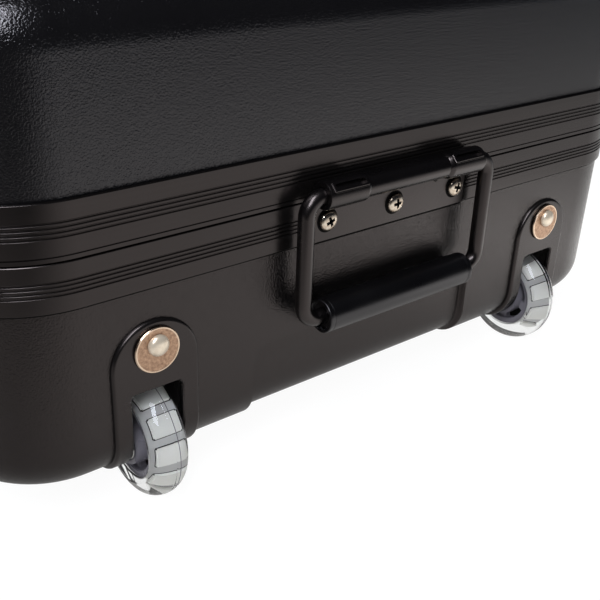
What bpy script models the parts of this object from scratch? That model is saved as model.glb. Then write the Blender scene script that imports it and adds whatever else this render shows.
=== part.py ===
"""Black moulded case for a full-size keyboard, lying flat on two skate wheels and two feet.

Metres, +Z up. X runs along the case, with the wheels at +X. The lid is hinged at +Y and latched at -Y.
The origin is on the floor, under the middle of everything that sticks out.
"""

import math

import bmesh
import bpy
from mathutils import Matrix, Vector

MM = 0.001
GAP = 0.3 * MM  # air between neighbours that touch on the real case
PAST = 20 * MM  # how far a cutter runs on past what it cuts

# Case body, measured at the outer face of the valance
CASE_LENGTH = 1500 * MM
CASE_WIDTH = 500 * MM
CORNER_RADIUS = 60 * MM
CORNER_STEPS = 7
PARTING_Z = 153.5 * MM
FLOOR_OF_BASE_Z = 22 * MM
TOP_OF_LID_Z = 268 * MM
SHELL_WALL = 3.5 * MM
EDGE_RADIUS = 26 * MM
EDGE_STEPS = 5
DRAFT = math.radians(0.5)
BASE_SETBACK = 1.8 * MM
LID_SETBACK = 2.6 * MM

# Valance, a black extrusion round each rim
PARTING_GAP = 0.8 * MM
LOWER_VALANCE_HEIGHT = 24.3 * MM
UPPER_VALANCE_HEIGHT = 28.0 * MM
VALANCE_WALL = 1.4 * MM
LID_VALANCE_WALL = 2.0 * MM
VALANCE_WEB = 3.0 * MM
VALANCE_LEG = 1.8 * MM
VALANCE_LEG_DEPTH = 14 * MM
SEAL_WIDTH = 3.0 * MM
SEAL_HEIGHT = 1.6 * MM
SEAL_INSET = 3.0 * MM

# Recess pressed into the middle of each end, running out under the base
RECESS_HALF_WIDTH = 86 * MM
RECESS_TOP_Z = 73 * MM
RECESS_DEPTH = 4 * MM
RECESS_RISE = 2.2 * MM
RECESS_OFF_MIDDLE = -4.5 * MM
RECESS_CORNER = 8 * MM
RECESS_REACH = 56 * MM  # how far it runs along the underside

# Foam lining
LINING_WALL = 10 * MM
LINING_FLOOR = 12 * MM
LINING_BLOCK = 72 * MM  # foam left at the wheel end, where the wheel wells stand
LINING_SLACK = 0.6 * MM
LINING_WELL_SLACK = 4 * MM

# Wheels and their housings
WHEEL_HALF_TRACK = 153.6 * MM
WHEEL_RADIUS = 35 * MM
WHEEL_WIDTH = 24 * MM
WHEEL_BEHIND_FACE = 18.4 * MM
TYRE_CROWN = 10 * MM
TYRE_BEAD = 1.5 * MM  # how far the bead stands back from the tyre's side
TYRE_SIDES = 32
CORE_RADIUS = 22 * MM
CORE_RIM = 3 * MM
CORE_HALF_WIDTH = 8 * MM
CORE_WEB_HALF = 3 * MM
CORE_WINDOWS = 5
CORE_WINDOW_ANGLE = 24  # degrees either side of the middle of each window
CORE_WINDOW_TURN = 20  # degrees
CORE_WINDOW_MARGIN = 0.7 * MM
HUB_RADIUS = 14 * MM
BEARING_RADIUS = 11 * MM
BEARING_WIDTH = 7 * MM
SPACER_RADIUS = 5.6 * MM
AXLE_RADIUS = 4 * MM
AXLE_HEAD_RADIUS = 5.2 * MM
AXLE_HEAD = 1.4 * MM
HOUSING_HALF_WIDTH = 25 * MM
HOUSING_PROUD = 2.2 * MM
HOUSING_ARCH_Z = 86.5 * MM
HOUSING_LAP = 3 * MM  # how far the flange runs on behind the well
WELL_HALF_WIDTH = 14.85 * MM
WELL_WALL = 2.5 * MM
WELL_TOP_Z = 72.5 * MM
WELL_DEPTH = 58 * MM
SHELL_CUT_SLACK = 2.8 * MM
WASHER_Z = 95.5 * MM
WASHER_RADIUS = 12.7 * MM
WASHER_THICKNESS = 1.6 * MM
WASHER_EDGE = 0.4 * MM
RIVET_Z = WASHER_Z + 3 * MM  # the washer hangs lower than the rivet
RIVET_HEAD_RADIUS = 5.8 * MM
RIVET_HEAD = 4 * MM
RIVET_SHANK = 2.4 * MM
RIVET_TAIL_RADIUS = 5 * MM
RIVET_TAIL = 1.5 * MM

# Feet at the other end
FOOT_FROM_END = 60 * MM
FOOT_HALF_TRACK = 170 * MM
FOOT_RADIUS = 21 * MM
FOOT_TOP_RADIUS = 25 * MM

# Pull handles: two ends and the front
PLATE_HALF_WIDTH = 59 * MM
PLATE_THICKNESS = 2 * MM
PLATE_ROLL = 4 * MM
HANDLE_OFF_MIDDLE = 2.6 * MM  # only the wheel end's
PIVOT_OUT = 8.9 * MM
PIVOT_Z = 158.9 * MM
BARREL_HALF_WIDTH = 60 * MM
BARREL_RADIUS = 6.4 * MM
BARREL_SHEET = 2 * MM
CLAMP_RADIUS = 7.8 * MM
CLAMP_LENGTH = 29 * MM
SLOT_WIDTH = 22 * MM
SLOT_HEIGHT = 3.6 * MM
SLOT_DEPTH = 2.4 * MM
ROD_RADIUS = 4.6 * MM
ROD_SIDES = 10
ROD_SLACK = 0.4 * MM
BAIL_HALF_WIDTH = 70 * MM
BAIL_DROP = 71 * MM
BAIL_BEND = 10 * MM
BAIL_END = 33 * MM  # how far from the middle the bent-in ends stop
GRIP_RADIUS = 10 * MM
GRIP_HALF_LENGTH = 57.5 * MM
GRIP_LIP = 1.5 * MM
SCREW_SPACING = 50 * MM
SCREW_Z = 141.4 * MM
SCREW_HEAD_RADIUS = 5.8 * MM
SCREW_HEAD = 3.2 * MM
SCREW_HEAD_SIDE = 0.9 * MM  # height of the head's upright side
SCREW_SHANK = 2.1 * MM

# Hinges along the back
HINGE_FROM_END = 190 * MM
HINGE_OUT = 6 * MM
KNUCKLE_RADIUS = 4 * MM
KNUCKLES = 5
KNUCKLE_PITCH = 13 * MM
HINGE_PIN_RADIUS = 1.6 * MM
LEAF_THICKNESS = 1.5 * MM
LEAF_EDGE = 2 * MM  # from the parting line to the edge of each leaf
WEB_REACH = 3 * MM  # how far a knuckle's web runs on along its leaf
WEB_LAP = 1.2 * MM

# Draw latches along the front
LATCH_FROM_END = 190 * MM
LATCH_FROM_MIDDLE = 230 * MM
LATCH_HALF_WIDTH = 17 * MM
LATCH_SHEET = 1.5 * MM
LATCH_EDGE = 1 * MM  # from the valance's edges to the plate's
LATCH_EAR_OUT = 8 * MM
LATCH_EAR_HALF_HEIGHT = 4 * MM
LEVER_PIVOT_OUT = 5.2 * MM
LEVER_PIVOT_Z = 144 * MM
LEVER_ARM = 9 * MM  # from the lever's pivot to the claw's
LEVER_LENGTH = 34 * MM
LEVER_HALF_WIDTH = 12 * MM
LEVER_CHEEK = 2 * MM
LEVER_COVER = 1.6 * MM
LEVER_COVER_OUT = 4.4 * MM
COVER_BELOW_PIN = 3.4 * MM
CHEEK_HALF = 2.4 * MM
CHEEK_REACH = 9 * MM  # how far the cheeks run on below the claw's pin
LATCH_PIN_RADIUS = 1.4 * MM
LATCH_PIN_SHORT = 0.4 * MM  # the claw's pin ends this much inside the cheeks' faces
CLAW_BACK = 0.8 * MM  # the claw's pivot lies this much behind the lever's
CLAW_BOSS = 2.1 * MM
CLAW_FOOT = 2 * MM
CLAW_CLEARANCE = 0.5 * MM
CLAW_HALF_WIDTH = 7 * MM
CLAW_THICKNESS = 1.8 * MM
CLAW_LIP = 1.5 * MM
LEDGE_OUT = 1.4 * MM
LEDGE_HEIGHT = 2 * MM
LEDGE_Z = 164 * MM
KEEPER_HALF_WIDTH = 12 * MM
KEEPER_HEIGHT = 12 * MM
RELEASED = math.radians(12)  # the levers rest popped open by this much, clear of the lid

END_X = CASE_LENGTH / 2
SIDE_Y = CASE_WIDTH / 2
FRONT_REACH = PIVOT_OUT + GRIP_RADIUS
BACK_REACH = HINGE_OUT + KNUCKLE_RADIUS
CASE_SHIFT_Y = (FRONT_REACH - BACK_REACH) / 2
WHEEL_X = END_X - WHEEL_BEHIND_FACE
BASE_RIM_Z = PARTING_Z - PARTING_GAP / 2 - VALANCE_WEB - GAP
LID_RIM_Z = PARTING_Z + PARTING_GAP / 2 + VALANCE_WEB + GAP


def clear_scene():
    for obj in list(bpy.data.objects):
        bpy.data.objects.remove(obj, do_unlink=True)


def make_material(name, colour, roughness, metallic=0.0, alpha=1.0):
    mat = bpy.data.materials.new(name)
    mat.use_nodes = True
    shader = mat.node_tree.nodes["Principled BSDF"]
    shader.inputs["Base Color"].default_value = (*colour, 1.0)
    shader.inputs["Roughness"].default_value = roughness
    shader.inputs["Metallic"].default_value = metallic
    shader.inputs["Alpha"].default_value = alpha
    return mat


def add_empty(name, location=(0, 0, 0), turn_z=0.0, parent=None):
    empty = bpy.data.objects.new(name, None)
    bpy.context.scene.collection.objects.link(empty)
    empty.location = location
    empty.rotation_euler = (0, 0, turn_z)
    empty.parent = parent
    return empty


def add_object(name, bm, mat=None, parent=None, location=(0, 0, 0), rotation=(0, 0, 0)):
    """Turn a bmesh into an object. Without a material it is a hidden cutter."""
    bmesh.ops.recalc_face_normals(bm, faces=bm.faces)
    mesh = bpy.data.meshes.new(name)
    bm.to_mesh(mesh)
    bm.free()
    obj = bpy.data.objects.new(name, mesh)
    bpy.context.scene.collection.objects.link(obj)
    obj.parent = parent
    obj.location = location
    obj.rotation_euler = rotation
    if mat is None:
        obj.hide_render = True
        obj.display_type = "WIRE"
    else:
        mesh.materials.append(mat)
    return obj


def smooth(obj, angle=math.radians(40)):
    obj.data.shade_smooth()
    obj.data.set_sharp_from_angle(angle=angle)


def combine(obj, operation, *others):
    for other in others:
        modifier = obj.modifiers.new(f"{operation.lower()}_{other.name}", "BOOLEAN")
        modifier.operation = operation
        modifier.solver = "EXACT"
        modifier.object = other


def bridged(rings, close=False):
    """Skin a list of rings of points. The ends are capped, or joined to each other if close is set."""
    bm = bmesh.new()
    loops = [[bm.verts.new(point) for point in ring] for ring in rings]
    pairs = list(zip(loops, loops[1:]))
    if close:
        pairs.append((loops[-1], loops[0]))
    else:
        bm.faces.new(loops[0])
        bm.faces.new(loops[-1])
    for low, high in pairs:
        for i in range(len(low)):
            j = (i + 1) % len(low)
            bm.faces.new((low[i], low[j], high[j], high[i]))
    return bm


def arc(centre, radius, start, end, steps):
    """Points on an arc in a plane, angles in degrees."""
    angles = (math.radians(start + (end - start) * i / steps) for i in range(steps + 1))
    return [(centre[0] + radius * math.cos(a), centre[1] + radius * math.sin(a)) for a in angles]


def rounded_rectangle(half_x, half_y, radius, steps=CORNER_STEPS):
    points = []
    for quarter, (sx, sy) in enumerate(((1, 1), (-1, 1), (-1, -1), (1, -1))):
        centre = (sx * (half_x - radius), sy * (half_y - radius))
        points += arc(centre, radius, 90 * quarter, 90 * quarter + 90, steps)
    return points


def box(low, high):
    bm = bmesh.new()
    bmesh.ops.create_cube(bm, size=1.0)
    size = Vector(high) - Vector(low)
    middle = (Vector(high) + Vector(low)) / 2
    bmesh.ops.scale(bm, vec=size, verts=bm.verts)
    bmesh.ops.translate(bm, vec=middle, verts=bm.verts)
    return bm


def prism(outline, axis, start, end):
    """Extrude an outline along an axis. Its points give the other two axes, in X, Y, Z order."""

    def place(point, along):
        values = list(point)
        values.insert("XYZ".index(axis), along)
        return values

    return bridged([[place(p, start) for p in outline], [place(p, end) for p in outline]])


def turned(profile, axis, sides, phase=0.0):
    """Turn a closed profile of (radius, along) points about an axis through the origin."""
    rings = []
    for i in range(sides):
        angle = 2 * math.pi * (i + phase) / sides
        ring = []
        for radius, along in profile:
            values = [radius * math.cos(angle), radius * math.sin(angle)]
            values.insert("XYZ".index(axis), along)
            ring.append(values)
        rings.append(ring)
    return bridged(rings, close=True)


def spun(profile, sides):
    """Turn an open profile of (radius, along) points about Y. It starts and ends on the axis."""
    rings = []
    for radius, along in profile[1:-1]:
        ring = []
        for i in range(sides):
            angle = 2 * math.pi * i / sides
            ring.append((radius * math.cos(angle), along, radius * math.sin(angle)))
        rings.append(ring)
    return bridged(rings)


def rod(axis, radius, start, end, sides=16, centre=(0, 0)):
    outline = arc(centre, radius, 0, 360 * (sides - 1) / sides, sides - 1)
    return prism(outline, axis, start, end)


def dome(radius, base, height, steps=4):
    """Points of a dome's profile between its rim and its tip, as (radius, along) points."""
    angles = (math.pi / 2 * i / steps for i in range(1, steps))
    return [(radius * math.cos(a), base + height * math.sin(a)) for a in angles]


def tube_along(path, radius, sides):
    """A round rod along a path of (y, z) points in the plane x = 0."""
    rings = []
    for i, point in enumerate(path):
        before = Vector(path[max(i - 1, 0)])
        after = Vector(path[min(i + 1, len(path) - 1)])
        tangent = (after - before).normalized()
        across = Vector((-tangent.y, tangent.x))
        ring = []
        for k in range(sides):
            angle = 2 * math.pi * (k + 0.5) / sides
            out = radius * math.cos(angle)
            side = radius * math.sin(angle)
            ring.append((out, point[0] + across.x * side, point[1] + across.y * side))
        rings.append(ring)
    return bridged(rings)


def shell_rings(setback, rim_z, floor_z, edge_radius, shorter=0.0, draft=DRAFT, past_rim=0.0):
    """Rings of one tub, from its rim to its flat floor, which may lie above or below the rim.

    setback is how far the rim lies inside the valance's outer face, shorter is taken off each end
    as well, and past_rim carries the tub on beyond its rim, for a cutter.
    """
    up = 1 if rim_z > floor_z else -1
    wall_end = floor_z + up * edge_radius
    slope = abs(rim_z - wall_end) * math.tan(draft)
    levels = [(setback, rim_z + up * past_rim), (setback + slope, wall_end)]
    for i in range(1, EDGE_STEPS + 1):
        angle = math.pi / 2 * i / EDGE_STEPS
        inset = setback + slope + edge_radius * (1 - math.cos(angle))
        levels.append((inset, wall_end - up * edge_radius * math.sin(angle)))
    rings = []
    for inset, z in levels:
        outline = rounded_rectangle(END_X - inset - shorter, SIDE_Y - inset, CORNER_RADIUS - inset)
        rings.append([(x, y, z) for x, y in outline])
    return rings


def valance(name, profile, mat, parent):
    """A closed ring of the given (inset, z) profile round the case."""
    rings = []
    for inset, z in profile:
        outline = rounded_rectangle(END_X - inset, SIDE_Y - inset, CORNER_RADIUS - inset)
        rings.append([(x, y, z) for x, y in outline])
    obj = add_object(name, bridged(rings, close=True), mat, parent)
    smooth(obj)
    return obj


def recess_cutters(parent, grow, setback, floor_z, rim_z, edge_radius):
    """What the end recess takes from a tub: a rounded prism, less the tub set back by the recess."""
    width = RECESS_HALF_WIDTH + grow
    top = RECESS_TOP_Z + grow
    corner = RECESS_CORNER + grow
    low = FLOOR_OF_BASE_Z - PAST
    outline = [(-width, low), (width, low)]
    outline += arc((width - corner, top - corner), corner, 0, 90, 4)
    outline += arc((corner - width, top - corner), corner, 90, 180, 4)
    outline = [(y + RECESS_OFF_MIDDLE, z) for y, z in outline]
    rings = shell_rings(setback, rim_z, floor_z + RECESS_RISE, edge_radius, shorter=RECESS_DEPTH)
    kept = add_object(f"recess_kept_{grow:.4f}", bridged(rings), parent=parent)
    cutters = []
    for side in (-1, 1):
        near = side * (END_X - RECESS_REACH - grow)
        far = side * (END_X + PAST)
        bm = prism(outline, "X", near, far)
        cutter = add_object(f"recess_cut_{side}_{grow:.4f}", bm, parent=parent)
        combine(cutter, "DIFFERENCE", kept)
        cutters.append(cutter)
    return cutters


def build_base_shell(mats, case, well_cutters):
    rings = shell_rings(BASE_SETBACK, BASE_RIM_Z, FLOOR_OF_BASE_Z, EDGE_RADIUS)
    shell = add_object("base_shell", bridged(rings), mats["shell"], case)
    wall = SHELL_WALL
    inner = (BASE_SETBACK + wall, BASE_RIM_Z, FLOOR_OF_BASE_Z + wall, EDGE_RADIUS - wall)
    cavity = add_object("base_cavity", bridged(shell_rings(*inner, past_rim=PAST)), parent=case)
    outer_cut = recess_cutters(case, 0.0, BASE_SETBACK, FLOOR_OF_BASE_Z, BASE_RIM_Z, EDGE_RADIUS)
    inner_cut = recess_cutters(case, wall, inner[0], inner[2], inner[1], inner[3])
    combine(cavity, "DIFFERENCE", *inner_cut)
    combine(shell, "DIFFERENCE", *outer_cut, cavity, *well_cutters)
    smooth(shell)
    return shell


def build_lid_shell(mats, case):
    rings = shell_rings(LID_SETBACK, LID_RIM_Z, TOP_OF_LID_Z, EDGE_RADIUS)
    shell = add_object("lid_shell", bridged(rings), mats["shell"], case)
    wall = SHELL_WALL
    inner = (LID_SETBACK + wall, LID_RIM_Z, TOP_OF_LID_Z - wall, EDGE_RADIUS - wall)
    cavity = add_object("lid_cavity", bridged(shell_rings(*inner, past_rim=PAST)), parent=case)
    combine(shell, "DIFFERENCE", cavity)
    smooth(shell)


def build_valances(mats, case):
    half_gap = PARTING_GAP / 2
    groove_low = SEAL_HEIGHT + GAP
    groove_out = SEAL_INSET - GAP
    groove_in = SEAL_INSET + SEAL_WIDTH + GAP
    leg = BASE_SETBACK + SHELL_WALL + 2 * GAP
    top = PARTING_Z - half_gap
    web = top - VALANCE_WEB
    lower = [
        (0, top),
        (0, PARTING_Z - LOWER_VALANCE_HEIGHT),
        (VALANCE_WALL, PARTING_Z - LOWER_VALANCE_HEIGHT),
        (VALANCE_WALL, web),
        (leg, web),
        (leg, PARTING_Z - VALANCE_LEG_DEPTH),
        (leg + VALANCE_LEG, PARTING_Z - VALANCE_LEG_DEPTH),
        (leg + VALANCE_LEG, top),
        (groove_in, top),
        (groove_in, top - groove_low),
        (groove_out, top - groove_low),
        (groove_out, top),
    ]
    base_valance = valance("base_valance", lower, mats["valance"], case)
    holes = []
    for side in (-1, 0, 1):
        at = (HANDLE_OFF_MIDDLE + side * SCREW_SPACING, SCREW_Z)
        bm = rod("X", SCREW_SHANK + GAP, END_X - VALANCE_WALL - GAP, END_X + GAP, 10, at)
        holes.append(add_object(f"screw_hole_{side}", bm, parent=case))
    combine(base_valance, "DIFFERENCE", *holes)

    bottom = PARTING_Z + half_gap
    web = bottom + VALANCE_WEB
    leg = LID_SETBACK + SHELL_WALL + 2 * GAP
    upper = [
        (0, bottom),
        (0, PARTING_Z + UPPER_VALANCE_HEIGHT),
        (LID_VALANCE_WALL, PARTING_Z + UPPER_VALANCE_HEIGHT),
        (LID_VALANCE_WALL, web),
        (leg, web),
        (leg, PARTING_Z + VALANCE_LEG_DEPTH),
        (leg + VALANCE_LEG, PARTING_Z + VALANCE_LEG_DEPTH),
        (leg + VALANCE_LEG, bottom),
    ]
    valance("lid_valance", upper, mats["valance"], case)

    seal_low = top - SEAL_HEIGHT
    seal_high = bottom - GAP
    inner = SEAL_INSET + SEAL_WIDTH
    profile = [(SEAL_INSET, seal_low), (SEAL_INSET, seal_high), (inner, seal_high), (inner, seal_low)]
    valance("rim_seal", profile, mats["rubber"], case)


def lining_bay(floor_z, rim_z, inset):
    """Rings of the hollow in a foam lining. The wheel end keeps a thicker block of foam."""
    corner = CORNER_RADIUS - inset
    outline = rounded_rectangle(END_X - inset, SIDE_Y - inset, corner)
    limit = END_X - LINING_BLOCK
    clipped = [(min(x, limit), y) for x, y in outline]
    return [[(x, y, z) for x, y in dict.fromkeys(clipped)] for z in (rim_z, floor_z)]


def build_linings(mats, case):
    tub = BASE_SETBACK + SHELL_WALL + LINING_SLACK + RECESS_DEPTH
    floor_z = FLOOR_OF_BASE_Z + SHELL_WALL + LINING_SLACK + RECESS_RISE
    rim_z = PARTING_Z - VALANCE_LEG_DEPTH - GAP
    edge = EDGE_RADIUS - SHELL_WALL
    rings = shell_rings(tub, rim_z, floor_z, edge)
    base = add_object("base_lining", bridged(rings), mats["foam"], case)
    bay = lining_bay(floor_z + LINING_FLOOR, rim_z + PAST, tub + LINING_WALL)
    combine(base, "DIFFERENCE", add_object("base_bay", bridged(bay), parent=case))
    for side in (-1, 1):
        y = side * WHEEL_HALF_TRACK
        half = WELL_HALF_WIDTH + WELL_WALL + SHELL_CUT_SLACK
        low = (END_X - WELL_DEPTH - WELL_WALL - LINING_WELL_SLACK, y - half, 0)
        high = (END_X, y + half, RIVET_Z + RIVET_TAIL_RADIUS + LINING_WELL_SLACK)
        combine(base, "DIFFERENCE", add_object(f"lining_well_{side}", box(low, high), parent=case))

    tub = LID_SETBACK + SHELL_WALL + LINING_SLACK
    floor_z = TOP_OF_LID_Z - SHELL_WALL - LINING_SLACK
    rim_z = PARTING_Z + VALANCE_LEG_DEPTH + GAP
    rings = shell_rings(tub, rim_z, floor_z, edge)
    lid = add_object("lid_lining", bridged(rings), mats["foam"], case)
    bay = lining_bay(floor_z - LINING_FLOOR, rim_z - PAST, tub + LINING_WALL)
    combine(lid, "DIFFERENCE", add_object("lid_bay", bridged(bay), parent=case))


def build_well_cutters(case):
    """Cut-outs in the base shell for the two wheel wells and their rivets."""
    cutters = []
    for side in (-1, 1):
        y = side * WHEEL_HALF_TRACK
        half = WELL_HALF_WIDTH + WELL_WALL + SHELL_CUT_SLACK
        low = (END_X - WELL_DEPTH - WELL_WALL - 2 * GAP, y - half, 0)
        high = (END_X + PAST, y + half, WELL_TOP_Z + WELL_WALL + 2 * GAP)
        cutters.append(add_object(f"shell_well_{side}", box(low, high), parent=case))
        bm = rod("X", RIVET_SHANK + GAP, END_X - PAST, END_X + PAST, 10, (y, RIVET_Z))
        cutters.append(add_object(f"shell_rivet_hole_{side}", bm, parent=case))
    return cutters


def tyre_profile():
    """Half-round crown over straight sides, as (radius, along) points."""
    half = WHEEL_WIDTH / 2
    bore = CORE_RADIUS + GAP
    points = [(bore, half - TYRE_BEAD), (bore, TYRE_BEAD - half)]
    shoulder = WHEEL_RADIUS - TYRE_CROWN
    steps = 8
    for i in range(steps + 1):
        angle = -math.pi / 2 + math.pi * i / steps
        points.append((shoulder + TYRE_CROWN * math.cos(angle), half * math.sin(angle)))
    return points


def core_profile():
    half_hub = WHEEL_WIDTH / 2
    bore = BEARING_RADIUS + GAP
    rim_in = CORE_RADIUS - CORE_RIM
    side = [(HUB_RADIUS, CORE_WEB_HALF), (rim_in, CORE_WEB_HALF), (rim_in, CORE_HALF_WIDTH)]
    upper = [(bore, half_hub), (HUB_RADIUS, half_hub), *side, (CORE_RADIUS, CORE_HALF_WIDTH)]
    lower = [(radius, -along) for radius, along in reversed(upper)]
    return upper + lower


def bearing_profile():
    half = WHEEL_WIDTH / 2
    bore = AXLE_RADIUS + GAP
    upper = [(bore, half), (BEARING_RADIUS, half), (BEARING_RADIUS, half - BEARING_WIDTH)]
    upper.append((SPACER_RADIUS, half - BEARING_WIDTH))
    lower = [(radius, -along) for radius, along in reversed(upper)]
    return upper + lower


def build_wheel(mats, case, end, side):
    """One wheel, turning on its own axle. The names say which corner it is at."""
    centre = (WHEEL_X, side * WHEEL_HALF_TRACK, WHEEL_RADIUS)
    spot = add_empty(f"wheel_axis_{end}", centre, parent=case)
    tyre = add_object(f"tyre_{end}", turned(tyre_profile(), "Y", TYRE_SIDES), mats["tyre"], spot)
    smooth(tyre, math.radians(50))
    core = add_object(f"wheel_core_{end}", turned(core_profile(), "Y", 24), mats["core"], spot)
    smooth(core)
    for k in range(CORE_WINDOWS):
        middle = 360 * k / CORE_WINDOWS + CORE_WINDOW_TURN
        start, stop = middle - CORE_WINDOW_ANGLE, middle + CORE_WINDOW_ANGLE
        window = arc((0, 0), HUB_RADIUS + CORE_WINDOW_MARGIN, start, stop, 4)
        window += arc((0, 0), CORE_RADIUS - CORE_RIM - CORE_WINDOW_MARGIN, stop, start, 4)
        bm = prism(window, "Y", -2 * CORE_WEB_HALF, 2 * CORE_WEB_HALF)
        combine(core, "DIFFERENCE", add_object(f"core_window_{end}_{k}", bm, parent=spot))
    bm = turned(bearing_profile(), "Y", 20)
    smooth(add_object(f"wheel_bearings_{end}", bm, mats["steel"], spot))
    wall_out = WELL_HALF_WIDTH + WELL_WALL
    axle = [(0.0, -wall_out - GAP - AXLE_HEAD), (AXLE_HEAD_RADIUS, -wall_out - GAP - AXLE_HEAD)]
    axle += [(AXLE_HEAD_RADIUS, -wall_out - GAP), (AXLE_RADIUS, -wall_out - GAP)]
    mirrored = [(radius, -along) for radius, along in reversed(axle)]
    smooth(add_object(f"wheel_axle_{end}", spun(axle + mirrored, 16), mats["steel"], spot))


def build_housing(mats, case, end, side):
    """Moulded wheel housing: a flange wrapped round the bottom edge, with the wheel well behind it."""
    y = side * WHEEL_HALF_TRACK
    arch = [(y - HOUSING_HALF_WIDTH, 0), (y + HOUSING_HALF_WIDTH, 0)]
    arch += arc((y, HOUSING_ARCH_Z), HOUSING_HALF_WIDTH, 0, 180, 12)
    back = END_X - WELL_DEPTH - WELL_WALL - HOUSING_LAP
    bm = prism(arch, "X", back, END_X + PAST)
    housing = add_object(f"wheel_housing_{end}", bm, mats["housing"], case)
    clear = shell_rings(BASE_SETBACK - GAP, BASE_RIM_Z, FLOOR_OF_BASE_Z - GAP, EDGE_RADIUS)
    shell_space = add_object(f"housing_shell_space_{end}", bridged(clear), parent=case)
    half = WELL_HALF_WIDTH + WELL_WALL
    low = (END_X - WELL_DEPTH - WELL_WALL, y - half, GAP)
    high = (END_X + WELL_WALL, y + half, WELL_TOP_Z + WELL_WALL)
    well = add_object(f"housing_well_{end}", box(low, high), parent=case)
    skin = shell_rings(
        0.0,
        BASE_RIM_Z,
        FLOOR_OF_BASE_Z - HOUSING_PROUD,
        EDGE_RADIUS + HOUSING_PROUD,
        draft=0.0,
    )
    outside = add_object(f"housing_outside_{end}", bridged(skin), parent=case)
    low = (END_X - WELL_DEPTH, y - WELL_HALF_WIDTH, -PAST)
    high = (END_X + 2 * PAST, y + WELL_HALF_WIDTH, WELL_TOP_Z)
    inside = add_object(f"housing_inside_{end}", box(low, high), parent=case)
    hole = rod("Y", AXLE_RADIUS + GAP, y - 2 * half, y + 2 * half, 12, (WHEEL_X, WHEEL_RADIUS))
    axle_hole = add_object(f"housing_axle_hole_{end}", hole, parent=case)
    hole = rod("X", RIVET_SHANK + GAP, END_X - PAST, END_X + 2 * PAST, 10, (y, RIVET_Z))
    rivet_hole = add_object(f"housing_rivet_hole_{end}", hole, parent=case)
    combine(housing, "DIFFERENCE", shell_space)
    combine(housing, "UNION", well)
    combine(housing, "INTERSECT", outside)
    combine(housing, "DIFFERENCE", inside, axle_hole, rivet_hole)
    smooth(housing)
    build_rivet(mats, case, end, y)


def build_rivet(mats, case, end, y):
    """The domed rivet that holds the housing's arch to the shell, and the big washer that hangs on it."""
    spot = add_empty(f"rivet_axis_{end}", (END_X, y, RIVET_Z), turn_z=-math.pi / 2, parent=case)
    washer_front = GAP + WASHER_THICKNESS
    hole = RIVET_SHANK + GAP
    profile = [
        (hole, GAP, 0.0),
        (WASHER_RADIUS, GAP, WASHER_Z - RIVET_Z),
        (WASHER_RADIUS, washer_front - WASHER_EDGE, WASHER_Z - RIVET_Z),
        (WASHER_RADIUS - WASHER_EDGE, washer_front, WASHER_Z - RIVET_Z),
        (hole, washer_front, 0.0),
    ]
    rings = []
    for radius, out, middle in profile:
        rings.append([(x, out, z) for x, z in arc((0, middle), radius, 0, 345, 23)])
    smooth(add_object(f"washer_{end}", bridged(rings, close=True), mats["brass"], spot))
    head = washer_front + GAP
    drop = (RIVET_Z - BASE_RIM_Z) * math.tan(DRAFT)
    tail = -(BASE_SETBACK - drop + SHELL_WALL + GAP)
    points = [(0.0, tail - RIVET_TAIL), (RIVET_TAIL_RADIUS, tail - RIVET_TAIL)]
    points += [(RIVET_TAIL_RADIUS, tail), (RIVET_SHANK, tail), (RIVET_SHANK, head)]
    points += [(RIVET_HEAD_RADIUS, head), *dome(RIVET_HEAD_RADIUS, head, RIVET_HEAD)]
    points.append((0.0, head + RIVET_HEAD))
    smooth(add_object(f"rivet_{end}", spun(points, 16), mats["nickel"], spot))


def handle_outline():
    """Side profile of the plate with its rolled top, as (out, z) points."""
    front = GAP + PLATE_THICKNESS
    top = PIVOT_Z + BARREL_RADIUS
    shelf = top - BARREL_SHEET
    low = PARTING_Z - LOWER_VALANCE_HEIGHT
    back_angle = 180 - math.degrees(math.asin((shelf - PIVOT_Z) / BARREL_RADIUS))
    points = [(front, low), (GAP, low)]
    points += arc((GAP + PLATE_ROLL, top - PLATE_ROLL), PLATE_ROLL, 180, 90, 3)
    points += arc((PIVOT_OUT, PIVOT_Z), BARREL_RADIUS, 90, back_angle - 360, 14)
    points.append((front, shelf))
    return points


def bail_path():
    """(y, z) points of one bail from the pivot's line, which is the origin."""
    right = [(BAIL_END, 0.0)]
    right += arc((BAIL_HALF_WIDTH - BAIL_BEND, -BAIL_BEND), BAIL_BEND, 90, 0, 4)
    right += arc((BAIL_HALF_WIDTH - BAIL_BEND, BAIL_BEND - BAIL_DROP), BAIL_BEND, 0, -90, 4)
    return right + [(-y, z) for y, z in reversed(right)]


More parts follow.
